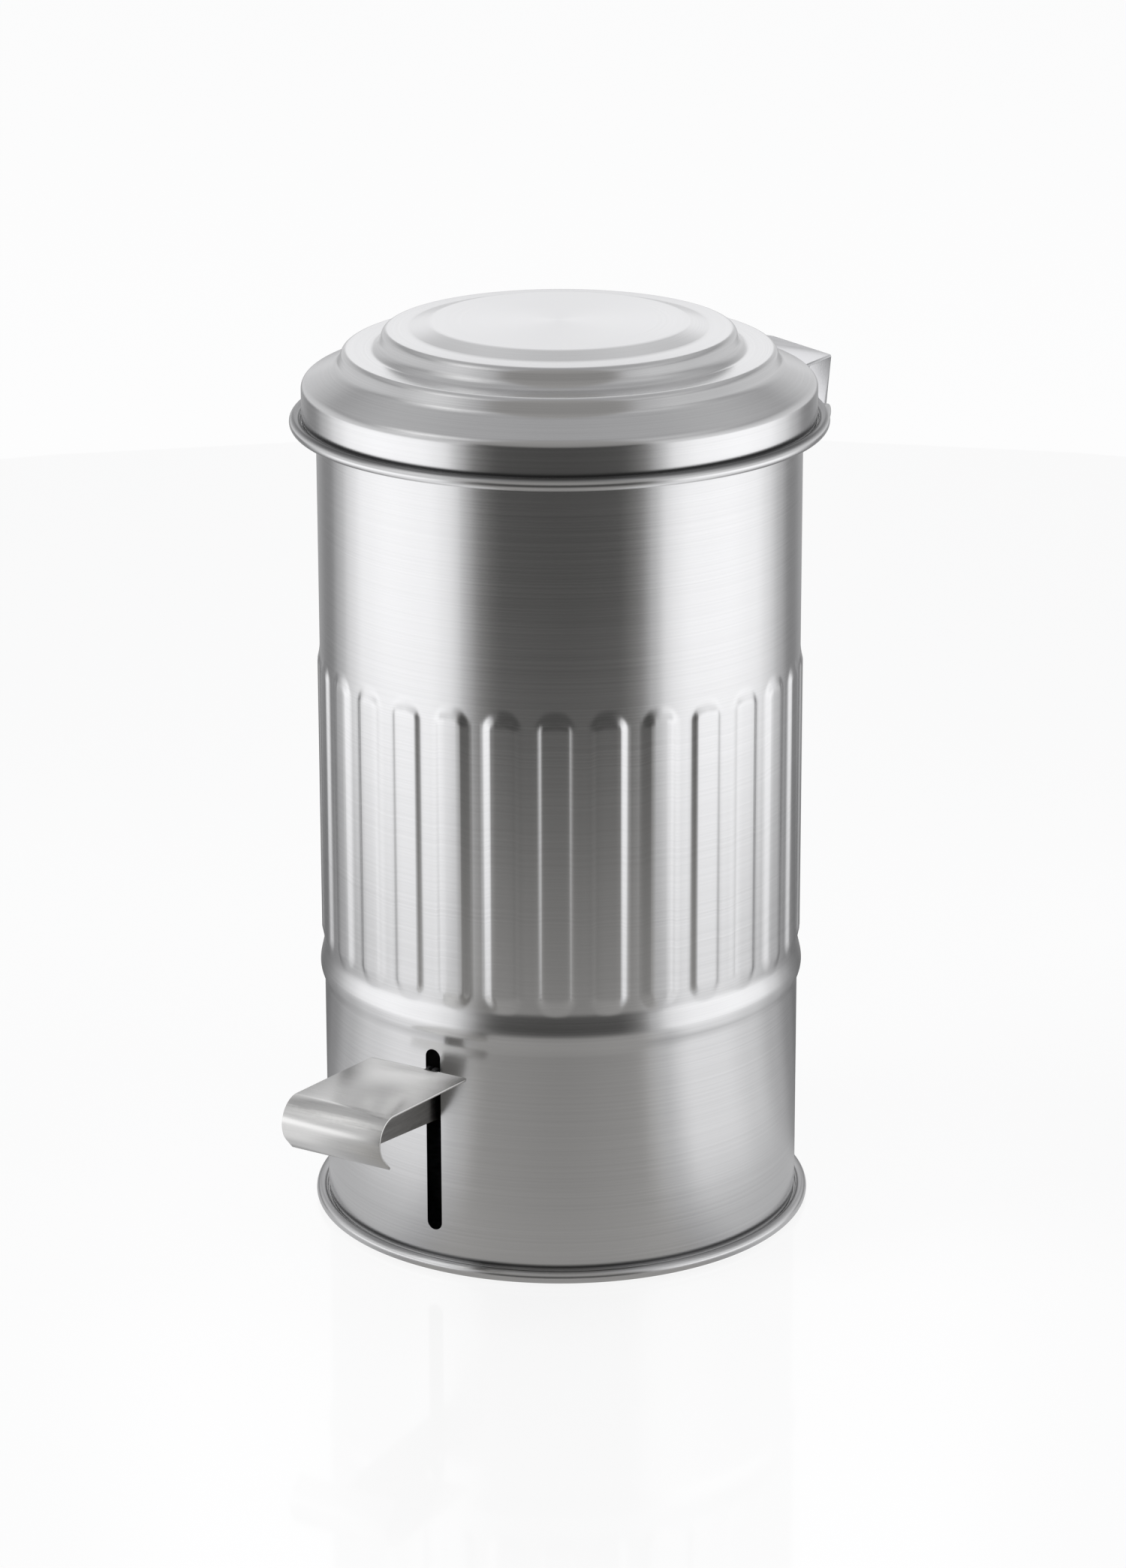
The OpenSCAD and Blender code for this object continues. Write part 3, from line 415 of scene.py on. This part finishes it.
class Nodes:
    """Short calls that add nodes to one tree."""

    def __init__(self, tree):
        self.tree = tree
        tree.nodes.clear()

    def add(self, kind, **settings):
        node = self.tree.nodes.new(kind)
        for key, value in settings.items():
            setattr(node, key, value)
        return node

    def link(self, source, target):
        self.tree.links.new(source, target)

    def put(self, value, socket):
        """Sets a socket to a number or a colour, or links an output to it."""
        if isinstance(value, (int, float, tuple)):
            socket.default_value = value
        else:
            self.link(value, socket)

    def place(self):
        return self.add("ShaderNodeTexCoord").outputs["Object"]

    def parts(self, vector):
        split = self.add("ShaderNodeSeparateXYZ")
        self.link(vector, split.inputs[0])
        return [split.outputs[axis] for axis in "XYZ"]

    def from_axis(self, vector):
        """Distance from the Z axis."""
        length = self.add("ShaderNodeVectorMath", operation="LENGTH")
        self.link(self.scaled(vector, (1, 1, 0)), length.inputs[0])
        return length.outputs["Value"]

    def scaled(self, vector, by):
        node = self.add("ShaderNodeVectorMath", operation="MULTIPLY")
        self.link(vector, node.inputs[0])
        node.inputs[1].default_value = by
        return node.outputs["Vector"]

    def math(self, operation, a, b=0.0):
        node = self.add("ShaderNodeMath", operation=operation)
        self.put(a, node.inputs[0])
        self.put(b, node.inputs[1])
        return node.outputs[0]

    def weighed(self, a, share_a, b, share_b):
        """The sum of two levels, each times its share."""
        return self.math("ADD", self.math("MULTIPLY", a, share_a), self.math("MULTIPLY", b, share_b))

    def noise(self, vector, scale, detail, roughness):
        node = self.add("ShaderNodeTexNoise")
        node.inputs["Scale"].default_value = scale
        node.inputs["Detail"].default_value = detail
        node.inputs["Roughness"].default_value = roughness
        self.link(vector, node.inputs["Vector"])
        return node.outputs["Fac"]

    def ranged(self, value, start, end, low, high, kind="LINEAR"):
        """Low where value is start, high where it is end, and held at these beyond."""
        node = self.add("ShaderNodeMapRange", interpolation_type=kind)
        for name, level in (("From Min", start), ("From Max", end), ("To Min", low), ("To Max", high)):
            node.inputs[name].default_value = level
        self.link(value, node.inputs["Value"])
        return node.outputs["Result"]

    def spread(self, noise, low, high):
        """A noise spread over low to high. It seldom leaves 0.3 to 0.7 by itself."""
        return self.ranged(noise, 0.3, 0.7, low, high)

    def around(self, noise, middle, half):
        return self.spread(noise, middle - half, middle + half)

    def blended(self, share, a, b, blend="MIX"):
        """Colour a where share is 0 and b where it is 1."""
        mix = self.add("ShaderNodeMix", data_type="RGBA", blend_type=blend)
        self.put(share, mix.inputs["Factor"])
        self.put(a, mix.inputs["A"])
        self.put(b, mix.inputs["B"])
        return mix.outputs["Result"]

    def tinted(self, noise, dark, light):
        return self.blended(self.spread(noise, 0, 1), (*dark, 1), (*light, 1))

    def graded(self, value, stops, full):
        """A smooth level for a value from 0 to full, through the stops."""
        ramp = self.add("ShaderNodeValToRGB")
        ramp.color_ramp.interpolation = "EASE"
        marks = ramp.color_ramp.elements
        while len(marks) < len(stops):
            marks.new(0.5)
        for mark, (at, level) in zip(marks, stops):
            mark.position = at / full
            mark.color = (level, level, level, 1)
        self.link(self.math("DIVIDE", value, full), ramp.inputs["Fac"])
        return ramp.outputs["Color"]

    def by_turn(self, turn, stops):
        return self.graded(turn, stops, 180)

    def by_rise(self, rise, stops):
        return self.graded(rise, stops, 90)

    def bump(self, height, strength, distance):
        node = self.add("ShaderNodeBump")
        node.inputs["Strength"].default_value = strength
        node.inputs["Distance"].default_value = distance
        self.link(height, node.inputs["Height"])
        return node.outputs["Normal"]

    def both(self, a, b):
        """The light of two shaders together."""
        node = self.add("ShaderNodeAddShader")
        self.link(a, node.inputs[0])
        self.link(b, node.inputs[1])
        return node.outputs[0]

    def either(self, share, a, b):
        """Shader a where share is 0 and b where it is 1."""
        node = self.add("ShaderNodeMixShader")
        self.link(share, node.inputs["Fac"])
        self.link(a, node.inputs[1])
        self.link(b, node.inputs[2])
        return node.outputs[0]

    def seen_rays(self):
        """1 for rays from the camera and for those that metal or glass sends on."""
        path = self.add("ShaderNodeLightPath")
        seen = self.math("MAXIMUM", path.outputs["Is Camera Ray"], path.outputs["Is Glossy Ray"])
        return self.math("MAXIMUM", seen, path.outputs["Is Transmission Ray"])

    def show(self, shader, kind="ShaderNodeOutputMaterial"):
        self.link(shader, self.add(kind).inputs[0])


def new_material(name):
    mat = bpy.data.materials.new(name)
    mat.use_nodes = True
    return mat, Nodes(mat.node_tree)


# Materials

def coated(name, metallic, finish):
    """A material whose colour, roughness and normal finish(nodes, shader) makes."""
    mat, nodes = new_material(name)
    shader = nodes.add("ShaderNodeBsdfPrincipled")
    nodes.show(shader.outputs[0])
    for output, socket in zip(finish(nodes, shader), ("Base Color", "Roughness", "Normal")):
        nodes.link(output, shader.inputs[socket])
    shader.inputs["Metallic"].default_value = metallic
    return mat


def turned_steel(name, dark, light, rough, aniso, crease_z):
    """Steel brushed round the Z axis: streaks run round the piece, and gloss spreads across them.

    At the height crease_z a rolled edge begins, where painted shade darkens a thin line."""
    def finish(nodes, shader):
        where = nodes.place()
        x, y, z = nodes.parts(where)
        outwards = nodes.math("MULTIPLY", nodes.from_axis(where), STREAK_SLANT)
        brushed = nodes.add("ShaderNodeCombineXYZ")
        for value, socket in zip((x, y, nodes.math("SUBTRACT", z, outwards)), brushed.inputs):
            nodes.link(value, socket)
        fine = nodes.noise(nodes.scaled(brushed.outputs[0], FINE_STREAKS), 1.0, 2.0, 0.6)
        broad = nodes.noise(nodes.scaled(brushed.outputs[0], BROAD_STREAKS), 1.0, 2.0, 0.55)
        cloud = nodes.noise(where, 16.0, 3.0, 0.5)
        color = nodes.tinted(nodes.weighed(fine, 0.8, broad, 0.2), dark, light)
        # Painted shade: the colour darkens to near black in a thin band round crease_z, where the rolled edge
        # meets the sheet.
        off = nodes.math("ABSOLUTE", nodes.math("SUBTRACT", z, crease_z))
        painted_shade = nodes.ranged(off, 0.0, CREASE_SHADE_REACH, CREASE_SHADE_SHARE, 0.0, "SMOOTHSTEP")
        tangent = nodes.add("ShaderNodeTangent", direction_type="RADIAL", axis="Z")
        nodes.link(tangent.outputs[0], shader.inputs["Tangent"])
        shader.inputs["Anisotropic"].default_value = aniso
        shader.inputs["Anisotropic Rotation"].default_value = 0.25
        gloss = nodes.math("ADD", nodes.around(fine, rough, 0.015), nodes.around(cloud, 0, 0.012))
        return nodes.blended(painted_shade, color, CREASE_SHADE), gloss, nodes.bump(fine, 0.02, 0.01 * MM)
    return coated(name, 1, finish)


def flat_steel(name, dark, light, rough, streaks):
    """Steel brushed in straight lines."""
    def finish(nodes, shader):
        where = nodes.place()
        fine = nodes.noise(nodes.scaled(where, streaks), 1.0, 2.0, 0.6)
        grain = nodes.noise(where, 900.0, 2.0, 0.6)
        cloud = nodes.noise(where, 40.0, 3.0, 0.5)
        mixed = nodes.weighed(fine, 0.7, grain, 0.3)
        gloss = nodes.math("ADD", nodes.around(mixed, rough, 0.05), nodes.around(cloud, 0, 0.03))
        return nodes.tinted(mixed, dark, light), gloss, nodes.bump(mixed, 0.02, 0.02 * MM)
    return coated(name, 1, finish)


def zinc(name, dark, light, rough):
    """Dull zinc plate with a fine crystal pattern."""
    def finish(nodes, shader):
        where = nodes.place()
        cells = nodes.add("ShaderNodeTexVoronoi")
        cells.inputs["Scale"].default_value = 260
        nodes.link(where, cells.inputs["Vector"])
        cloud = nodes.noise(where, 120.0, 4.0, 0.6)
        mixed = nodes.weighed(cells.outputs["Distance"], 0.5, cloud, 0.6)
        gloss = nodes.spread(cloud, rough - 0.06, rough + 0.08)
        return nodes.tinted(mixed, dark, light), gloss, nodes.bump(cloud, 0.1, 0.02 * MM)
    return coated(name, 1, finish)


def moulded(name, dark, light, rough, grain_scale, grain_depth):
    """Plastic or rubber with a fine moulded grain."""
    def finish(nodes, shader):
        where = nodes.place()
        grain = nodes.noise(where, grain_scale, 3.0, 0.6)
        cloud = nodes.noise(where, 30.0, 3.0, 0.5)
        bump = nodes.bump(grain, 0.25, grain_depth)
        return nodes.tinted(cloud, dark, light), nodes.around(grain, rough, 0.07), bump
    return coated(name, 0, finish)


SHELL_STEEL = turned_steel("shell_steel", (0.785, 0.785, 0.785), (0.845, 0.845, 0.845), 0.22, 0.65,
                           FOOT_TOP + 0.7 * MM)
LID_STEEL = turned_steel("lid_steel", (0.80, 0.80, 0.80), (0.86, 0.86, 0.86), 0.21, 0.5,
                         LID_RIM_Z + LID_ROLL_R + 0.1 * MM)
HOOD_STEEL = flat_steel("hood_steel", (0.77, 0.77, 0.78), (0.86, 0.86, 0.87), 0.23, HOOD_STREAKS)
PEDAL_STEEL = flat_steel("pedal_steel", (0.78, 0.775, 0.76), (0.84, 0.835, 0.82), 0.21, PEDAL_STREAKS)
# Painted shade: the same steel as the pedal, made much darker for the web that sits under the tread.
SHADED_WEB_STEEL = flat_steel("shaded_web_steel", (0.28, 0.275, 0.27), (0.38, 0.375, 0.37), 0.34, WEB_STREAKS)
DRAWN_STEEL = flat_steel("drawn_steel", (0.62, 0.62, 0.62), (0.76, 0.76, 0.76), 0.24, DRAWN_STREAKS)
CLIP_STEEL = flat_steel("clip_steel", (0.05, 0.05, 0.055), (0.10, 0.10, 0.11), 0.4, CLIP_STREAKS)
ZINC_STEEL = zinc("zinc_steel", (0.42, 0.43, 0.44), (0.58, 0.59, 0.60), 0.42)
BLACK_PLASTIC = moulded("black_plastic", (0.018, 0.018, 0.019), (0.028, 0.028, 0.029), 0.5,
                        1400, 0.05 * MM)
BUCKET_PLASTIC = moulded("bucket_plastic", (0.030, 0.030, 0.032), (0.045, 0.045, 0.048), 0.48,
                         1100, 0.06 * MM)
RUBBER = moulded("rubber", (0.020, 0.020, 0.020), (0.032, 0.032, 0.031), 0.75, 800, 0.08 * MM)
NYLON = moulded("nylon", (0.62, 0.60, 0.55), (0.72, 0.70, 0.65), 0.45, 900, 0.04 * MM)

SLOT_MATERIALS = {
    "steel_sheet": SHELL_STEEL, "pedal_steel": PEDAL_STEEL, "zinc_steel": ZINC_STEEL,
    "fastener_steel": DRAWN_STEEL, "clip_steel": CLIP_STEEL, "black_plastic": BLACK_PLASTIC,
    "bucket_plastic": BUCKET_PLASTIC, "rubber": RUBBER, "nylon": NYLON,
}


def dress_nodes():
    """Gives each CAD node the finish of its slot in the record. The web under the tread gets a much darker copy
    of the pedal's steel: painted shade.
    """
    for part in frame["record"]["subparts"]:
        mat = SHADED_WEB_STEEL if part["node"] == "pedal_web" else SLOT_MATERIALS[part["material_slot"]]
        for slot in frame["nodes"][part["node"]].material_slots:
            slot.material = mat


# Pieces

def rib_height(turn, z):
    """How far the pressed ribs move the sheet at one place."""
    at = (turn - RIB_TURN) / RIB_PITCH - 0.5
    aside = (at - round(at)) * RIB_PITCH * BODY_R
    middle = RIB_LOW + RIB_LEN / 2
    half = (RIB_W + RIB_FLANK) / 2
    beyond = max(0, abs(z - middle) - (RIB_LEN - RIB_W) / 2) * half / RIB_END_REACH
    away = math.hypot(aside, beyond)
    lean = (beyond / away) ** 2 if away else 0
    flank = RIB_FLANK * (1 - lean) + RIB_END_FLANK * lean
    t = max(0, min(1, (half - away) / flank))
    return RIB_OUT * t * t * (3 - 2 * t)


def bead_height(z):
    """How far the rolled bead moves the sheet at one height, on a smooth line through its points."""
    if not BEAD_LINE[0][0] < z < BEAD_LINE[-1][0]:
        return 0
    i = max(k for k, point in enumerate(BEAD_LINE) if point[0] <= z)
    near = [BEAD_LINE[max(0, min(len(BEAD_LINE) - 1, i + k))] for k in (-1, 0, 1, 2)]
    (z0, h0), (z1, h1), (z2, h2), (z3, h3) = near
    t = (z - z1) / (z2 - z1)
    m1 = (h2 - h0) / (z2 - z0) * (z2 - z1) if z0 < z1 else 0
    m2 = (h3 - h1) / (z3 - z1) * (z2 - z1) if z2 < z3 else 0
    return ((2 * t ** 3 - 3 * t * t + 1) * h1 + (t ** 3 - 2 * t * t + t) * m1
            + (3 * t * t - 2 * t ** 3) * h2 + (t ** 3 - t * t) * m2)


def shell_shape(turn, z):
    return rib_height(turn, z) if z > BEAD_LINE[0][0] else 0


def wall_rows():
    """Heights of the shell's rows from the top down, close together where the shape changes."""
    high = RIB_LOW + RIB_LEN - RIB_W / 2
    low = RIB_LOW + RIB_W / 2
    past = RIB_END_REACH + ROW_MARGIN
    bead_low = BEAD_LINE[0][0] - ROWS_BELOW_BEAD * ROW_STEP
    rows = steps(BODY_TOP, high + past, WALL_STEP)
    rows += steps(high + past, high - ROW_MARGIN, ROW_STEP)
    rows += steps(high - ROW_MARGIN, low + ROW_MARGIN, WALL_STEP)
    rows += steps(low + ROW_MARGIN, bead_low, ROW_STEP)
    rows += steps(bead_low, FOOT_TOP + ROW_MARGIN, WALL_STEP)
    return rows


def wall_turns():
    """Turns of the shell's columns in rising order, close together at the flanks of the ribs."""
    spots = [x / BODY_R for x in RIB_SPOTS]
    around = spots + [RIB_PITCH / 2] + [RIB_PITCH - x for x in spots[:0:-1]]
    first = RIB_TURN + RIB_PITCH / 2
    return [first + RIB_PITCH * i + x for i in range(RIB_N) for x in around]


def body_shell():
    """The rolled shell: ribs, bead, rolled foot, the pedal's slot and the crank's window."""
    foot_z = FOOT_LIFT + FOOT_ROLL_R
    outer = [(BODY_R + bead_height(z), z) for z in wall_rows()]
    outer += [(BODY_R, foot_z + CREVICE)]
    outer += arc(FOOT_ROLL_CR, foot_z, FOOT_ROLL_R, ROLL_START, ROLL_END, ROLL_SEGMENTS)
    inner = [(BODY_R + bead_height(z) - SHEET_T, z) for z in wall_rows()]
    inner += [(BODY_R - SHEET_T, foot_z - CREVICE)]
    verts, faces = revolve(outer + inner[::-1], wall_turns(), shell_shape)
    shell = new_piece("shell", verts, faces, "bin", SHELL_STEEL)
    end = SLOT_W / 2
    slot = arc(0, SLOT_LOW + end, end, 180, 360, SLOT_SEGMENTS)
    slot += arc(0, SLOT_HIGH - end, end, 0, 180, SLOT_SEGMENTS)
    window = [(-WINDOW_HALF_W, WINDOW_LOW), (WINDOW_HALF_W, WINDOW_LOW), (WINDOW_HALF_W, WINDOW_HIGH),
              (-WINDOW_HALF_W, WINDOW_HIGH)]
    for name, outline, y in (("slot_cut", slot, -BODY_R), ("window_cut", window, BODY_R)):
        cutter = solid(name, *prism(outline, y - CUT_REACH, y + CUT_REACH, drawn_along_y))
        boolean(shell, cutter, "DIFFERENCE")
    finish_mesh(shell)
    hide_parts("body_shell")


def lid_shell():
    """The pressed lid: flat crown, two steps, conical band, skirt and wired rim."""
    outer = rounded(LID_LINE, LID_FILLETS, LID_FILLET_SEGMENTS)
    inner = offset(outer, SHEET_T)
    inner[0] = (0, inner[0][1])
    outer += [(LID_R, LID_RIM_Z + CREVICE)]
    outer += arc(LID_ROLL_CR, LID_RIM_Z, LID_ROLL_R, ROLL_START, ROLL_END, ROLL_SEGMENTS)
    outer += [(LID_R - SHEET_T, LID_RIM_Z - CREVICE)]
    turns = [2 * math.pi * j / LID_COLUMNS for j in range(LID_COLUMNS)]
    verts, faces = revolve(outer + inner[::-1], turns)
    lid = new_piece("lid_pressing", verts, faces, "lid", LID_STEEL)
    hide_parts("lid_shell")


def fold_edges(obj, side, top, radius):
    """Rounds the two upper side edges, where the sheet is folded down."""
    bm = bmesh.new()
    bm.from_mesh(obj.data)
    bmesh.ops.dissolve_limit(bm, angle_limit=math.radians(0.5), verts=bm.verts, edges=bm.edges)
    near = 0.01 * MM
    edges = [e for e in bm.edges
             if all(abs(abs(v.co.x) - side) < near and abs(v.co.z - top) < near for v in e.verts)]
    bmesh.ops.bevel(bm, geom=edges, offset=radius, segments=HOOD_FOLD_SEGMENTS, profile=0.5,
                    affect="EDGES", clamp_overlap=True)
    bm.to_mesh(obj.data)
    bm.free()


def lid_hood():
    """The hinge hood: a plate with slanted back edges, a curved flange and two ears."""
    reach = math.degrees(math.asin((HOOD_HALF_W - HOOD_T) / HOOD_INNER_R))
    front = HOOD_INNER_R * math.cos(math.radians(reach))
    under = HOOD_TOP - HOOD_T / 2
    skirt = arc(0, 0, HOOD_INNER_R, 90 + reach, 90 - reach, HOOD_SEGMENTS)
    outline = skirt + [(HOOD_HALF_W, front), (HOOD_HALF_W, HOOD_BEND_Y), (HOOD_BACK_HALF_W, HOOD_BACK_Y),
                       (-HOOD_BACK_HALF_W, HOOD_BACK_Y), (-HOOD_HALF_W, HOOD_BEND_Y), (-HOOD_HALF_W, front)]
    plate = solid("hinge_hood", *prism(outline, HOOD_TOP - HOOD_T, HOOD_TOP, drawn_along_z))
    band = skirt + arc(0, 0, HOOD_INNER_R + HOOD_T, 90 - reach, 90 + reach, HOOD_SEGMENTS)
    flange = solid("flange", *prism(band, HOOD_TOP - HOOD_FLANGE_H, under, drawn_along_z))
    boolean(plate, flange, "UNION")
    ear = arc(HINGE_Y, HINGE_Z, EAR_R, EAR_START, EAR_END, EAR_SEGMENTS)
    ear += [(HOOD_BEND_Y, under), (EAR_FRONT_Y, under)]
    hole = arc(HINGE_Y, HINGE_Z, EAR_HOLE_R, 0, 360 - 360 / EAR_HOLE_SIDES, EAR_HOLE_SIDES - 1)
    for low, high in ((HOOD_HALF_W - HOOD_T, HOOD_HALF_W), (-HOOD_HALF_W, HOOD_T - HOOD_HALF_W)):
        side = solid("ear", *prism(ear, low, high, drawn_along_x))
        boolean(side, solid("hole", *prism(hole, low - MM, high + MM, drawn_along_x)), "DIFFERENCE")
        boolean(plate, side, "UNION")
    fold_edges(plate, HOOD_HALF_W, HOOD_TOP, HOOD_FOLD_R)
    bevel(plate, HOOD_EDGE_R)
    clean(plate)
    finish_mesh(plate, HOOD_SHARP)
    plate.data.materials.append(HOOD_STEEL)
    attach(plate, "lid")
    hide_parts("lid_hood")


def tread_line(depth):
    """The tread's outline at a depth below its upper face, as (distance out, height)."""
    end = 90 - LIP_TURN
    flat = steps(0, CORNER_R, CORNER_STEP) + steps(CORNER_R, TREAD_LEN, TREAD_STEP)
    line = [(d, -depth) for d in flat]
    line += arc(TREAD_LEN, -LIP_R, LIP_R - depth, 90, end, LIP_SEGMENTS)
    last = Vector(line[-1])
    away = Vector((math.sin(math.radians(end)), -math.cos(math.radians(end))))
    return line + [tuple(last + away * LIP_FLICK * share) for share in (0.5, 1)]


def pedal_tread():
    """The pedal: one plate with round inner corners and its front rolled under."""
    over = tread_line(0)
    under = tread_line(TREAD_T)
    verts = []
    for top, low in zip(over, under):
        inset = max(0, CORNER_R - top[0]) if top[1] > -TREAD_T else 0
        half = TREAD_W / 2 - CORNER_R + math.sqrt(max(0, CORNER_R ** 2 - inset ** 2))
        for side in (-half, half):
            for d, h in (top, low):
                verts.append((side, -d, h))
    last = 4 * (len(over) - 1)
    faces = []
    for a in range(0, last, 4):
        b = a + 4
        faces += [(a, b, b + 2, a + 2), (a + 1, a + 3, b + 3, b + 1), (a, a + 1, b + 1, b),
                  (a + 2, b + 2, b + 3, a + 3)]
    faces += [(0, 2, 3, 1), (last, last + 1, last + 3, last + 2)]
    turn = Matrix.Translation((0, TREAD_Y, TREAD_Z)) @ Matrix.Rotation(-TREAD_SLOPE, 4, "X")
    verts = [tuple(turn @ Vector(v)) for v in verts]
    tread = new_piece("tread_plate", verts, faces, "pedal_lever", PEDAL_STEEL)
    bevel(tread, TREAD_EDGE_R)
    finish_mesh(tread)
    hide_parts("pedal_tread")


# Camera, floor, tent and lamps

def camera():
    """The photograph's own view."""
    data = bpy.data.cameras.new("camera")
    data.sensor_width = SENSOR
    data.lens = FOCAL_PIXELS / FRAME_PIXELS * SENSOR
    obj = linked("camera", data)
    turn = Matrix.Rotation(math.radians(CAMERA_TURN), 4, "Z")
    turn = turn @ Matrix.Rotation(math.radians(90 - CAMERA_PITCH), 4, "X")
    turn = turn @ Matrix.Rotation(math.radians(CAMERA_ROLL), 4, "Z")
    obj.matrix_world = Matrix.Translation(CAMERA_AT) @ turn
    bpy.context.scene.camera = obj


def world():
    """White where it is seen, and a soft light from all round."""
    studio = bpy.data.worlds.new("studio")
    bpy.context.scene.world = studio
    studio.use_nodes = True
    nodes = Nodes(studio.node_tree)
    back = nodes.add("ShaderNodeBackground")
    nodes.link(nodes.blended(nodes.seen_rays(), WORLD_FILL, WORLD_SEEN), back.inputs["Color"])
    nodes.show(back.outputs[0], "ShaderNodeOutputWorld")


def floor():
    """A white floor: it glows for the camera, still takes shadow, and mirrors the bin faintly."""
    mat, nodes = new_material("floor_white")
    plain = nodes.add("ShaderNodeBsdfPrincipled")
    plain.inputs["Base Color"].default_value = FLOOR_COLOR
    plain.inputs["Roughness"].default_value = FLOOR_ROUGH
    glow = nodes.add("ShaderNodeEmission")
    glow.inputs["Strength"].default_value = FLOOR_GLOW
    soft = nodes.add("ShaderNodeBsdfDiffuse")
    soft.inputs["Color"].default_value = FLOOR_SOFT
    mirror = nodes.add("ShaderNodeBsdfGlossy")
    mirror.inputs["Color"].default_value = FLOOR_MIRROR
    mirror.inputs["Roughness"].default_value = FLOOR_MIRROR_ROUGH
    seen = nodes.both(nodes.both(glow.outputs[0], soft.outputs[0]), mirror.outputs[0])
    nodes.show(nodes.either(nodes.seen_rays(), plain.outputs[0], seen))
    corners = [(-FLOOR_HALF, -FLOOR_HALF, 0), (FLOOR_HALF, -FLOOR_HALF, 0), (FLOOR_HALF, FLOOR_HALF, 0),
               (-FLOOR_HALF, FLOOR_HALF, 0)]
    obj = linked("floor", new_mesh("floor", corners, [(0, 1, 2, 3)]))
    obj.data.materials.append(mat)


def floor_level(nodes, turn, away):
    """Brightness of the tent's floor."""
    near = nodes.blended(nodes.ranged(away, INNER_R, WALL_R, 0.0, 1.0, "SMOOTHSTEP"),
                         nodes.by_turn(turn, INNER_FLOOR), nodes.by_turn(turn, NEAR_FLOOR))
    return nodes.blended(nodes.ranged(away, NEAR_R, FAR_R, 0.0, 1.0, "SMOOTHSTEP"), near,
                         nodes.by_turn(turn, FAR_FLOOR))


def dome_level(nodes, turn, rise):
    """Brightness of the tent's dome."""
    behind = nodes.blended(nodes.by_turn(turn, WINDOW_SIDE), nodes.by_rise(rise, FAR_SKY),
                           nodes.by_rise(rise, WINDOW_SKY))
    sides = nodes.blended(nodes.by_turn(turn, NEAR_SIDE), nodes.by_rise(rise, NEAR_SKY), behind)
    return nodes.blended(nodes.by_rise(rise, LOW_SHARE), nodes.by_turn(turn, FAR_FLOOR), sides)


def tent_glow(name, on_floor):
    """Glow of the tent's floor or dome. It is clear from outside and from below."""
    mat, nodes = new_material(name)
    where = nodes.place()
    x, y, z = nodes.parts(where)
    away = nodes.from_axis(where)
    turn = nodes.math("ARCTAN2", nodes.math("ABSOLUTE", x), nodes.math("MULTIPLY", y, -1.0))
    turn = nodes.math("DEGREES", turn)
    if on_floor:
        level = floor_level(nodes, turn, away)
    else:
        level = dome_level(nodes, turn, nodes.math("DEGREES", nodes.math("ARCTAN2", z, away)))
    tint = nodes.blended(nodes.by_turn(turn, NEAR_SIDE), WARM, COOL)
    glow = nodes.add("ShaderNodeEmission")
    glow.inputs["Strength"].default_value = TENT_POWER
    nodes.link(nodes.blended(1.0, level, tint, "MULTIPLY"), glow.inputs["Color"])
    clear = nodes.add("ShaderNodeBsdfTransparent")
    facing = nodes.add("ShaderNodeNewGeometry").outputs["Backfacing"]
    nodes.show(nodes.either(facing, glow.outputs[0], clear.outputs[0]))
    return mat


def tent():
    """A light tent round the bin, which only its gloss shows: bright sides, dark towards the camera."""
    n = TENT_TURNS
    around = [2 * math.pi * j / n for j in range(n)]
    base = [(r * math.sin(a), -r * math.cos(a), TENT_LIFT) for r in (TENT_HOLE, TENT_R) for a in around]
    dome = []
    for i in range(TENT_RISES + 1):
        up = math.radians(TENT_TOP) * i / TENT_RISES
        flat = TENT_R * math.cos(up)
        dome += [(flat * math.sin(a), -flat * math.cos(a), TENT_R * math.sin(up)) for a in around]
    rings = [(j, (j + 1) % n, n + (j + 1) % n, n + j) for j in range(n)]
    shells = [(i * n + j, (i + 1) * n + j, (i + 1) * n + (j + 1) % n, i * n + (j + 1) % n)
              for i in range(TENT_RISES) for j in range(n)]
    for name, verts, faces, on_floor in (("tent_floor", base, rings, True), ("tent_dome", dome, shells, False)):
        mesh = new_mesh(name, verts, faces)
        mesh.materials.append(tent_glow(name, on_floor))
        first = mesh.polygons[0]
        inwards = first.normal.z if on_floor else -first.normal.dot(first.center)
        if inwards < 0:
            mesh.flip_normals()
        obj = linked(name, mesh)
        obj.rotation_euler.z = math.radians(CAMERA_TURN)
        obj.visible_camera = False
        obj.visible_diffuse = False
        obj.visible_shadow = False


def lamp(name, at, size, power):
    """A round area lamp."""
    data = bpy.data.lights.new(name, "AREA")
    data.shape = "DISK"
    data.size = size
    data.energy = power
    aim = Vector(LAMP_AIM) - Vector(at)
    turn = aim.to_track_quat("-Z", "Y").to_matrix().to_4x4()
    linked(name, data).matrix_world = Matrix.Translation(at) @ turn


camera()
dress_nodes()
body_shell()
lid_shell()
lid_hood()
pedal_tread()
world()
floor()
tent()
for lamp_settings in LAMPS:
    lamp(*lamp_settings)

bpy.context.scene.view_settings.view_transform = "Standard"
